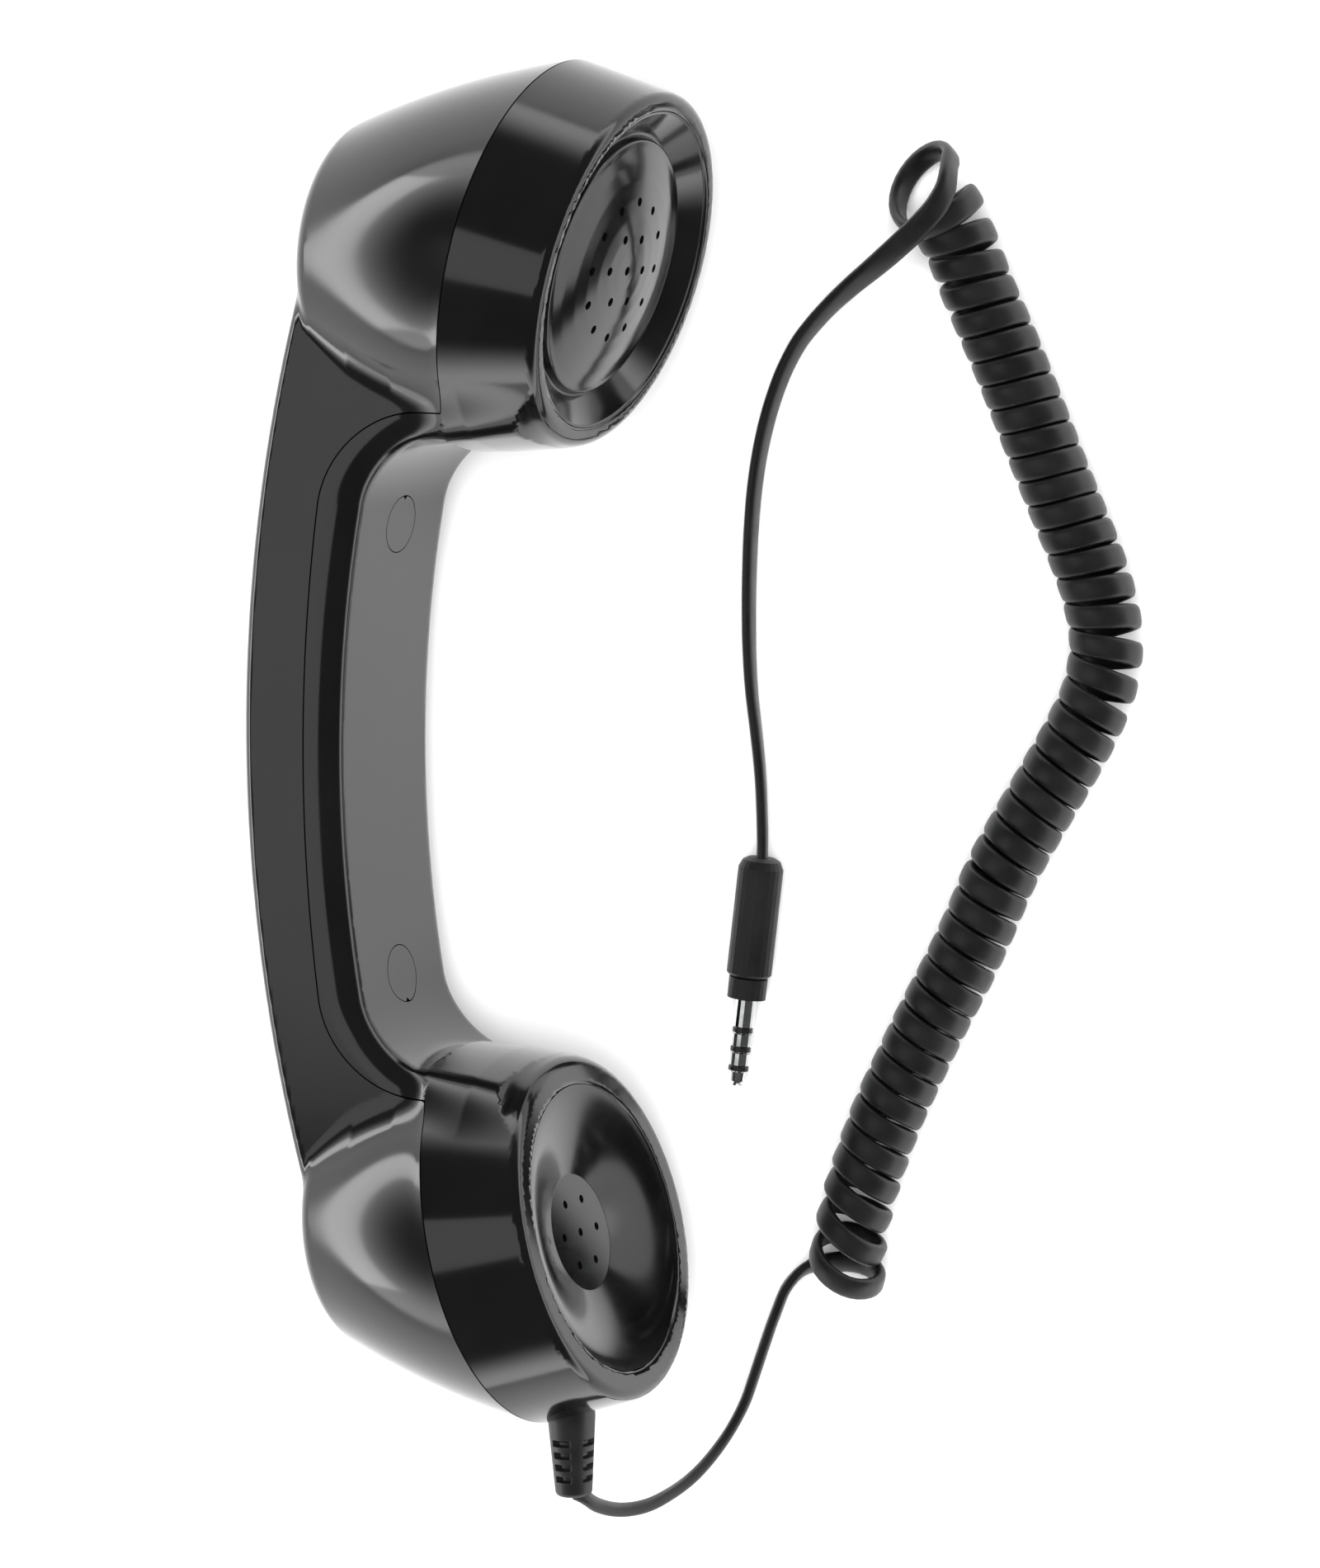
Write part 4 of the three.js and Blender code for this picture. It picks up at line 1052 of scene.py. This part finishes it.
# ---- Strain relief --------------------------------------------------------------------------------------------------
@dataclass
class StrainRelief:
    """The moulded boot round the cord: a slotted taper with a rounded tip."""

    length: float = 13.4
    base_radius: float = 4.0
    tip_radius: float = 3.05
    tip_edge: float = 0.9
    inside: float = 3.0  # how much of it is inside the case
    slots: int = 4
    slot_first: float = 4.1
    slot_pitch: float = 2.05
    slot_height: float = 0.85
    slot_depth: float = 0.95
    slot_slope: float = 0.24  # of a slot's walls, along the boot
    rib_half_angle: float = 17.0
    rib_slope: float = 5.0  # of a rib's walls, degrees
    first_rib: float = 52.0
    step: float = 0.13
    edge_steps: int = 9
    segments: int = 144

    def radius_at(self, height: Array, angle: Array) -> Array:
        """Works out the boot's radius, with its slots between four ribs.

        Args:
            height: distance along the boot from its base.
            angle: angle round it, radians.

        Returns:
            The radius.
        """
        share = np.clip(height / self.length, 0, 1)
        radius = self.base_radius + (self.tip_radius - self.base_radius) * share
        turned = np.degrees(angle) - self.first_rib
        off_rib = np.abs((turned + 45) % 90 - 45)
        between = np.clip((off_rib - self.rib_half_angle) / self.rib_slope, 0, 1)
        depth = np.zeros_like(height)
        for i in range(self.slots):
            off = np.abs(height - self.slot_first - self.slot_pitch * i)
            inside = (self.slot_height + self.slot_slope) / 2 - off
            depth = np.maximum(depth, np.clip(inside / self.slot_slope, 0, 1))
        return radius - self.slot_depth * depth * between

    def build(self) -> None:
        """Makes the boot."""
        at, out = FORM.boot_place()
        round_tip = np.linspace(0, math.pi / 2, self.edge_steps)
        straight_end = self.length - self.tip_edge
        straight = np.arange(-self.inside, straight_end, self.step)
        heights = np.concatenate([straight, straight_end + self.tip_edge * np.sin(round_tip)])
        trims = np.concatenate([np.zeros(len(straight)), self.tip_edge - self.tip_edge * np.cos(round_tip)])
        angles = 2 * np.pi * np.arange(self.segments) / self.segments
        height, angle = np.meshgrid(heights, angles, indexing="ij")
        radius = self.radius_at(height, angle) - trims[:, None]
        points = np.stack([radius * np.sin(angle), height, radius * np.cos(angle)], -1).reshape(-1, 3)
        count, around = len(points), np.arange(self.segments)
        faces = np.vstack([ring_faces(len(heights), self.segments), cap_faces(count, around, False),
                           cap_faces(count + 1, count - self.segments + around, True)])
        points = np.vstack([points, [[0, heights[0], 0], [0, self.length, 0]]])
        placed = aim(Surface(points, faces, point_normals(points, faces)), at, out)
        make_piece("cord_boot", LAY.to_part(placed.points), placed.faces, Look.BOOT,
                   ["strain_relief"], sharp=50)


# ---- Cord -----------------------------------------------------------------------------------------------------------
def distance_along(line: Array) -> Array:
    """Distance from a line's start to each of its points."""
    return np.concatenate([[0], np.cumsum(np.linalg.norm(np.diff(line, axis=0), axis=1))])


def at_stations(wanted: Array, stations: Array, rows: Array) -> Array:
    """Rows of three numbers at the wanted stations, in between the rows given at others."""
    return np.stack([np.interp(wanted, stations, rows[:, k]) for k in range(3)], -1)


def smooth_line(points: Array, step: float) -> Array:
    """A smooth curve through points, resampled at an even step.

    Args:
        points: the points that it passes.
        step: the spacing in the points' own unit.

    Returns:
        Points along the curve.
    """
    between = 24  # points drawn from each given point to the next
    padded = np.vstack([2 * points[0] - points[1], points, 2 * points[-1] - points[-2]])
    fine = []
    for i in range(1, len(padded) - 2):
        p0, p1, p2, p3 = padded[i - 1:i + 3]
        d1 = max(np.linalg.norm(p2 - p1), 1e-9)
        d0, d2 = max(np.linalg.norm(p1 - p0), 1e-9), max(np.linalg.norm(p3 - p2), 1e-9)
        m1 = d1 * ((p1 - p0) / d0 * d1 + (p2 - p1) / d1 * d0) / (d0 + d1)
        m2 = d1 * ((p2 - p1) / d1 * d2 + (p3 - p2) / d2 * d1) / (d1 + d2)
        for t in np.linspace(0, 1, between, endpoint=False):
            fine.append((2 * t ** 3 - 3 * t ** 2 + 1) * p1 + (t ** 3 - 2 * t ** 2 + t) * m1
                        + (3 * t ** 2 - 2 * t ** 3) * p2 + (t ** 3 - t ** 2) * m2)
    fine = np.array([*fine, points[-1]])
    return resample(fine, step)


def resample(line: Array, step: float) -> Array:
    """Spaces points evenly along a line.

    Args:
        line: points along it.
        step: the spacing.

    Returns:
        The evenly spaced points.
    """
    run = distance_along(line)
    return at_stations(np.linspace(0, run[-1], max(2, int(round(run[-1] / step)) + 1)), run, line)


@dataclass
class CurlyCord:
    """The flat cord: down from the boot, through the coil, and along to the plug."""

    width: float = 4.1
    thickness: float = 1.9
    coil_radius: float = 5.3
    pitch: float = 4.2
    per_turn: int = 28  # points
    strip_step: float = 1.2  # between points on the straight stretches
    inside_boot: float = 0.5  # how far inside the boot's tip it starts
    # Routes in the part's frame: from the boot to the coil, from the coil to the plug, and the coil's own line
    lower: tuple[tuple[float, float, float], ...] = (
        (17.8, -119.0, 33.3), (20.2, -121.2, 30.6), (23.5, -122.8, 27.0), (27.3, -123.1, 23.0), (31.0, -122.1, 18.5),
        (34.8, -119.9, 14.0), (38.6, -116.0, 9.5), (41.3, -112.0, 6.5), (43.1, -108.3, 4.7), (44.2, -105.0, 3.5),
        (46.1, -99.1, 2.4), (48.0, -93.6, 2.2), (50.2, -88.6, 2.2), (52.4, -86.3, 2.2), (55.2, -85.0, 2.2))
    upper: tuple[tuple[float, float, float], ...] = (
        (77.0, 100.2, 13.0), (76.6, 97.9, 14.1), (75.3, 95.3, 14.5), (72.6, 92.1, 13.9), (69.2, 88.9, 12.0),
        (64.7, 85.0, 8.9), (60.3, 81.4, 5.9), (56.8, 78.2, 4.2), (54.0, 75.2, 3.2), (51.7, 72.3, 2.6),
        (49.7, 68.8, 2.2), (47.0, 61.9, 2.1), (45.2, 54.9, 2.1), (44.1, 48.0, 2.1), (43.5, 41.0, 2.1),
        (43.2, 34.0, 2.1), (43.1, 27.0, 2.1), (43.2, 20.0, 2.1), (43.6, 13.0, 2.1), (44.4, 6.0, 2.1),
        (45.1, -1.0, 2.3), (45.5, -8.0, 3.1), (45.65, -12.5, 3.8), (45.6, -15.4, 3.95))
    coil: tuple[tuple[float, float, float], ...] = (
        (60.2, -87.3, 7.2), (60.7, -81.5, 6.6), (62.0, -74.3, 6.4), (64.9, -64.6, 6.4), (67.6, -57.3, 6.4),
        (70.9, -50.0, 6.4), (75.1, -41.1, 6.4), (79.4, -32.6, 6.4), (82.8, -25.0, 6.4), (86.1, -17.0, 6.4),
        (90.5, -8.7, 6.4), (95.5, 0.0, 6.4), (99.4, 7.2, 6.4), (102.4, 14.4, 6.4), (103.5, 22.3, 6.4),
        (102.2, 30.2, 6.4), (99.6, 37.8, 6.4), (96.6, 45.0, 6.4), (93.6, 52.4, 6.4), (90.7, 59.8, 6.4),
        (87.7, 67.3, 6.4), (84.6, 74.6, 6.4), (81.4, 81.9, 6.4), (78.9, 88.4, 6.4), (76.4, 93.3, 6.7),
        (71.2, 100.1, 8.2))
    low_lean: float = 0.48  # how far the end turns lean up from the coil's line
    high_lean: float = 0.72
    # How far the lower turns swing round on the table: distance along the coil in mm, radians
    low_swing: tuple[tuple[float, float], ...] = ((0, -0.12), (3, -0.18), (8, -0.32), (14, -0.22), (25, -0.08),
                                                  (35, 0))
    low_hold: float = 2.9  # how far along the coil's line each lean holds, and over what length it then fades
    low_fade: float = 6.0
    high_hold: float = 5.0
    high_fade: float = 3.5
    low_swell: float = 0.45  # how much wider the end turns are than the rest
    high_swell: float = 1.5
    # How much further apart the end turns stand: distance from that end in mm, and the factor
    low_open: tuple[tuple[float, float], ...] = ((0, 1.25), (12, 1.2), (20, 1))
    high_open: tuple[tuple[float, float], ...] = ((0, 2.0), (4.5, 1.9), (6.5, 1.1), (24, 1.07), (34, 1))
    # The straight stretch turns from flat to on edge: distance from the coil in mm, lean in degrees
    twist: tuple[tuple[float, float], ...] = ((0, 0), (15, 8), (25, 40), (30, 50), (35, 57), (45, 63), (66, 70),
                                              (94, 77), (107, 85), (122, 90))
    start_angle: float = 110.0  # degrees: under the coil, towards its left
    end_angle: float = -30.0  # at the right of the last turn, climbing onto it
    bend_opening: float = 6.5  # the coil's half width, which sets how much a bend spreads the turns, mm
    bend_step: float = 0.1  # between the points at which the coil's bend is measured, mm
    bend_window: int = 81  # over how many of them it is averaged
    low_turn_in: int = 8  # over how many points the lower stretch turns to the coil's first turn
    high_turn_in: float = 16.0  # over what length the upper stretch turns from its last, mm
    corner_flatness: float = 0.35  # the section's flat sides and round edges: a smaller power is squarer
    edge_roundness: float = 0.8
    section_points: int = 20

    def ring_axes(self, line: Array) -> tuple[Array, Array, Array, Array]:
        """The coil's rings along its line.

        Args:
            line: points on the coil's line.

        Returns:
            Each ring's axis, the two directions across it, and its radius.
        """
        along = unit(np.gradient(line, axis=0))
        run = distance_along(line)
        low = np.exp(-np.maximum(run - self.low_hold, 0) / self.low_fade)
        high = np.exp(-np.maximum(run[-1] - run - self.high_hold, 0) / self.high_fade)
        swing = np.interp(run, *zip(*self.low_swing))
        axis = np.stack([along[:, 0] * np.cos(swing) - along[:, 1] * np.sin(swing),
                         along[:, 0] * np.sin(swing) + along[:, 1] * np.cos(swing), np.zeros(len(line))], -1)
        axis[:, 2] = self.low_lean * low + self.high_lean * high
        axis = unit(axis)
        first = unit(np.cross(axis, UP))
        second = np.cross(axis, first)
        return axis, first, second, self.coil_radius + self.low_swell * low + self.high_swell * high

    def coil_path(self) -> tuple[Array, Array]:
        """Finds the coil's own line and its turns.

        Returns:
            Points on the line, and how many turns the cord has made at each.
        """
        step, window = self.bend_step, self.bend_window
        line = smooth_line(np.array(self.coil), step)
        along = unit(np.gradient(line, axis=0))
        bend = np.linalg.norm(np.gradient(along, axis=0), axis=1) / step
        bend = np.convolve(np.pad(bend, window // 2, mode="edge"), np.ones(window) / window, mode="valid")
        run = np.arange(len(line)) * step
        opened = np.interp(run, *zip(*self.low_open)) * np.interp(run[-1] - run, *zip(*self.high_open))
        pitch = self.pitch * (1 + self.bend_opening * bend) * opened
        phase = np.concatenate([[0], np.cumsum(step / ((pitch[1:] + pitch[:-1]) / 2))])
        part_turn = (self.start_angle - self.end_angle) / 360 % 1
        return line, phase * (round(phase[-1] - part_turn) + part_turn) / phase[-1]

    def build(self) -> None:
        at, out = FORM.boot_place()
        tip = LAY.to_part(at + out * (StrainRelief.length - self.inside_boot))
        line, phase = self.coil_path()
        axis, first, second, radius = self.ring_axes(line)
        # The hand of the coil is left: seen from the front, each turn falls to the right.
        angle = math.radians(self.start_angle) - 2 * np.pi * phase
        ring = line + radius[:, None] * (np.cos(angle)[:, None] * first + np.sin(angle)[:, None] * second)
        wanted = np.linspace(0, phase[-1], int(phase[-1] * self.per_turn) + 1)
        helix, broad = at_stations(wanted, phase, ring), at_stations(wanted, phase, axis)
        lower = smooth_line(np.vstack([tip, np.array(self.lower), helix[:1]]), self.strip_step)[:-1]
        upper = smooth_line(np.vstack([helix[-1:], np.array(self.upper)]), self.strip_step)[1:]
        self.sweep(np.vstack([lower, helix, upper]),
                   np.vstack([self.low_broad(lower, broad[0]), broad, self.high_broad(upper, broad[-1])]))

    def low_broad(self, lower: Array, first_turn: Array) -> Array:
        """Finds how the width lies on the way from the boot to the coil: on edge until it nears the coil.

        Args:
            lower: points of the stretch.
            first_turn: the direction of the width where the coil starts.

        Returns:
            The direction of the width at each point.
        """
        share = np.clip((np.arange(len(lower)) - len(lower) + self.low_turn_in) / self.low_turn_in, 0, 1)[:, None]
        return UP * (1 - share) + first_turn * share

    def high_broad(self, upper: Array, last_turn: Array) -> Array:
        """Finds how the width lies on the way from the coil to the plug: it turns from flat to on edge.

        Args:
            upper: points of the stretch.
            last_turn: the direction of the width where the coil ends.

        Returns:
            The direction of the width at each point.
        """
        run = np.arange(len(upper)) * self.strip_step
        lean = np.radians(np.interp(run, *zip(*self.twist)))[:, None]
        across = unit(np.cross(np.gradient(upper, axis=0), UP))
        flat = across * np.cos(lean) + UP * np.sin(lean)
        share = (0.5 + 0.5 * np.cos(np.pi * np.clip(run / self.high_turn_in, 0, 1)))[:, None]
        sign = np.sign((flat[0] * last_turn).sum()) or 1.0
        return flat * sign * (1 - share) + last_turn * share

    def sweep(self, path: Array, broad: Array) -> None:
        """Args:
            path: its centreline in the part's frame, millimetres.
            broad: the direction of its width at each point.
        """
        forward = unit(np.gradient(path, axis=0))
        broad = unit(broad - (broad * forward).sum(-1, keepdims=True) * forward)
        thin = np.cross(forward, broad)
        half, edge = self.width / 2, self.thickness / 2
        count = self.section_points
        turn = np.linspace(0, 2 * np.pi, count, endpoint=False)
        round_x, round_y = np.cos(turn), np.sin(turn)
        wide = (half - edge) * np.sign(round_x) * np.abs(round_x) ** self.corner_flatness + edge * round_x
        deep = edge * np.sign(round_y) * np.abs(round_y) ** self.edge_roundness
        points = path[:, None] + wide[None, :, None] * broad[:, None] + deep[None, :, None] * thin[:, None]
        points = points.reshape(-1, 3)
        near_end = np.stack([np.zeros(count - 2, int), np.arange(2, count), np.arange(1, count - 1)], 1)
        far_end = near_end[:, ::-1] + len(points) - count
        faces = np.vstack([ring_faces(len(path), count), near_end, far_end])
        a, b, c = (points[faces[:, k]] for k in range(3))
        if (np.cross(a, b) * c).sum() < 0:
            faces = faces[:, ::-1]
        cord = make_piece("curly_cord", points, faces, Look.SHEATH, ["cord_lower", "cord_coil", "cord_upper"],
                          sharp=60)


# ---- Plug and inner pieces ------------------------------------------------------------------------------------------
PLUG_NODES: dict[str, Look] = {
    "plug_barrel": Look.BARREL, "plug_collar": Look.BARREL, "plug_sleeve": Look.CONTACT,
    "plug_insulator_1": Look.INSULATOR, "plug_ring_2": Look.CONTACT, "plug_insulator_2": Look.INSULATOR,
    "plug_ring_1": Look.CONTACT, "plug_insulator_3": Look.INSULATOR, "plug_tip": Look.CONTACT,
}

INNER_NODES: dict[str, Look] = {
    "receiver_gasket": Look.FOAM, "receiver_frame": Look.INNER, "receiver_diaphragm": Look.FILM,
    "receiver_voice_coil": Look.WINDING, "receiver_yoke": Look.ZINC, "receiver_magnet": Look.FERRITE,
    "receiver_pole_plate": Look.ZINC, "microphone_felt": Look.FOAM, "microphone_capsule": Look.ZINC,
    "microphone_holder": Look.BOOT, "screw_ear": Look.ZINC, "screw_mouth": Look.ZINC, "balance_weight": Look.ZINC,
    "receiver_leads": Look.LEAD_RED, "microphone_leads": Look.LEAD_BLUE,
}


def dress_nodes(looks: dict[str, Look]) -> None:
    """Gives carried-over CAD nodes their finishes.

    Args:
        looks: the finish of each node.
    """
    for name, look in looks.items():
        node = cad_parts[name]
        node.data.materials.clear()
        node.data.materials.append(look.material())
        log.info("%s: %s", name, look.value.name)


# ---- Studio ---------------------------------------------------------------------------------------------------------
@dataclass(frozen=True)
class Softbox:
    """A soft light, in metres and watts."""

    name: str
    at: tuple[float, float, float]
    towards: tuple[float, float, float]
    size: tuple[float, float]  # width, height
    power: float
    mirrored: bool = True  # whether it shows in the gloss

    def build(self) -> None:
        """Adds the light."""
        data = bpy.data.lights.new(self.name, "AREA")
        data.shape = "RECTANGLE"
        data.size, data.size_y = self.size
        data.energy = self.power
        lamp = bpy.data.objects.new(self.name, data)
        lamp.location = self.at
        lamp.rotation_euler = (Vector(self.towards) - Vector(self.at)).to_track_quat("-Z", "Y").to_euler()
        lamp.visible_glossy = self.mirrored
        bpy.context.scene.collection.objects.link(lamp)


@dataclass
class Studio:
    """Camera, pale floor and soft light."""

    target: tuple[float, float, float] = (0.0278, -0.0031, 0.0)
    back: tuple[float, float, float] = (0.09804, 0.11016, 0.98907)  # from the target to the camera
    distance: float = 1.018
    lens: float = 137.34
    sensor: float = 36.0
    clip_range: tuple[float, float] = (0.01, 20.0)
    floor_colour: str = "F2F2F2"
    floor_dust: str = "EFEFEF"
    floor_half: float = 1.5
    floor_cells: int = 12
    floor_drop: float = 0.0002  # under the part, so that the two don't flicker
    low_light: float = 3.5  # the surround is bright near the table and dark overhead
    high_light: float = 0.1
    low_height: float = 0.03  # the heights between which it fades: sine of the angle above the table
    high_height: float = 0.34
    softboxes: tuple[Softbox, ...] = (
        Softbox("fill_above", (0.1, 0.05, 1.3), (0.03, 0.0, 0.0), (1.4, 1.4), 40, mirrored=False),
        Softbox("softbox_left", (-0.96, 0.0, 1.15), (0.0, 0.0, 0.0), (0.6, 1.3), 2.6),
        Softbox("panel_left", (-1.4, 0.1, 0.13), (0.0, 0.0, 0.05), (1.9, 0.24), 5),
    )

    def camera(self) -> None:
        """Adds the camera, square to the table but for a small lean."""
        data = bpy.data.cameras.new("view")
        data.sensor_fit = "VERTICAL"
        data.sensor_height = data.sensor_width = self.sensor
        data.lens = self.lens
        data.clip_start, data.clip_end = self.clip_range
        camera = bpy.data.objects.new("view", data)
        back = Vector(self.back).normalized()
        right = Vector((0, 1, 0)).cross(back).normalized()
        turn = Matrix((right, back.cross(right), back)).transposed().to_4x4()
        camera.matrix_world = Matrix.Translation(Vector(self.target) + back * self.distance) @ turn
        bpy.context.scene.collection.objects.link(camera)
        bpy.context.scene.camera = camera

    def floor(self) -> None:
        """Adds the table: matte pale laminate with a faint mottle."""
        finish = Finish("laminate_pale", base=self.floor_colour, worn=self.floor_dust, roughness=0.6,
                        roughness_spread=0.1, grain_mm=0.8, grain_height_mm=0.005, cloud_mm=60)
        ticks = np.linspace(-self.floor_half, self.floor_half, self.floor_cells + 1)
        points = [(float(x), float(y), -self.floor_drop) for y in ticks for x in ticks]
        row = self.floor_cells + 1
        starts = [r * row + c for r in range(self.floor_cells) for c in range(self.floor_cells)]
        mesh = bpy.data.meshes.new("table_top")
        mesh.from_pydata(points, [], [(n, n + 1, n + row + 1, n + row) for n in starts])
        mesh.materials.append(finish.build())
        floor = bpy.data.objects.new("table_top", mesh)
        bpy.context.scene.collection.objects.link(floor)

    def light(self) -> None:
        """Adds the surround and the softboxes."""
        world = bpy.data.worlds.new("studio")
        world.use_nodes = True
        tree = world.node_tree
        tree.nodes.clear()
        direction = add_node(tree, "TexCoord")
        height = add_node(tree, "SeparateXYZ", {}, {"Vector": direction.outputs["Generated"]})
        fall = add_node(tree, "MapRange", {"interpolation_type": "SMOOTHSTEP"}, {
            "Value": height.outputs["Z"], "From Min": self.low_height, "From Max": self.high_height,
            "To Min": self.low_light, "To Max": self.high_light})
        sky = add_node(tree, "Background", {}, {"Color": linear("FFFFFF"), "Strength": fall.outputs["Result"]})
        add_node(tree, "OutputWorld", {}, {"Surface": sky.outputs["Background"]})
        bpy.context.scene.world = world
        for softbox in self.softboxes:
            softbox.build()

    def build(self) -> None:
        """Sets the stage."""
        self.camera()
        self.floor()
        self.light()
        bpy.context.scene.view_settings.view_transform = "Standard"


def main() -> None:
    """Builds the scene."""
    logging.basicConfig(level=logging.INFO, format="%(name)s %(message)s")
    Studio().build()
    CurlyCord().build()
    StrainRelief().build()
    Shells().build()
    ear_cup().build()
    mouth_cup().build()
    dress_nodes(PLUG_NODES)
    dress_nodes(INNER_NODES)


if __name__ == "__main__":
    main()
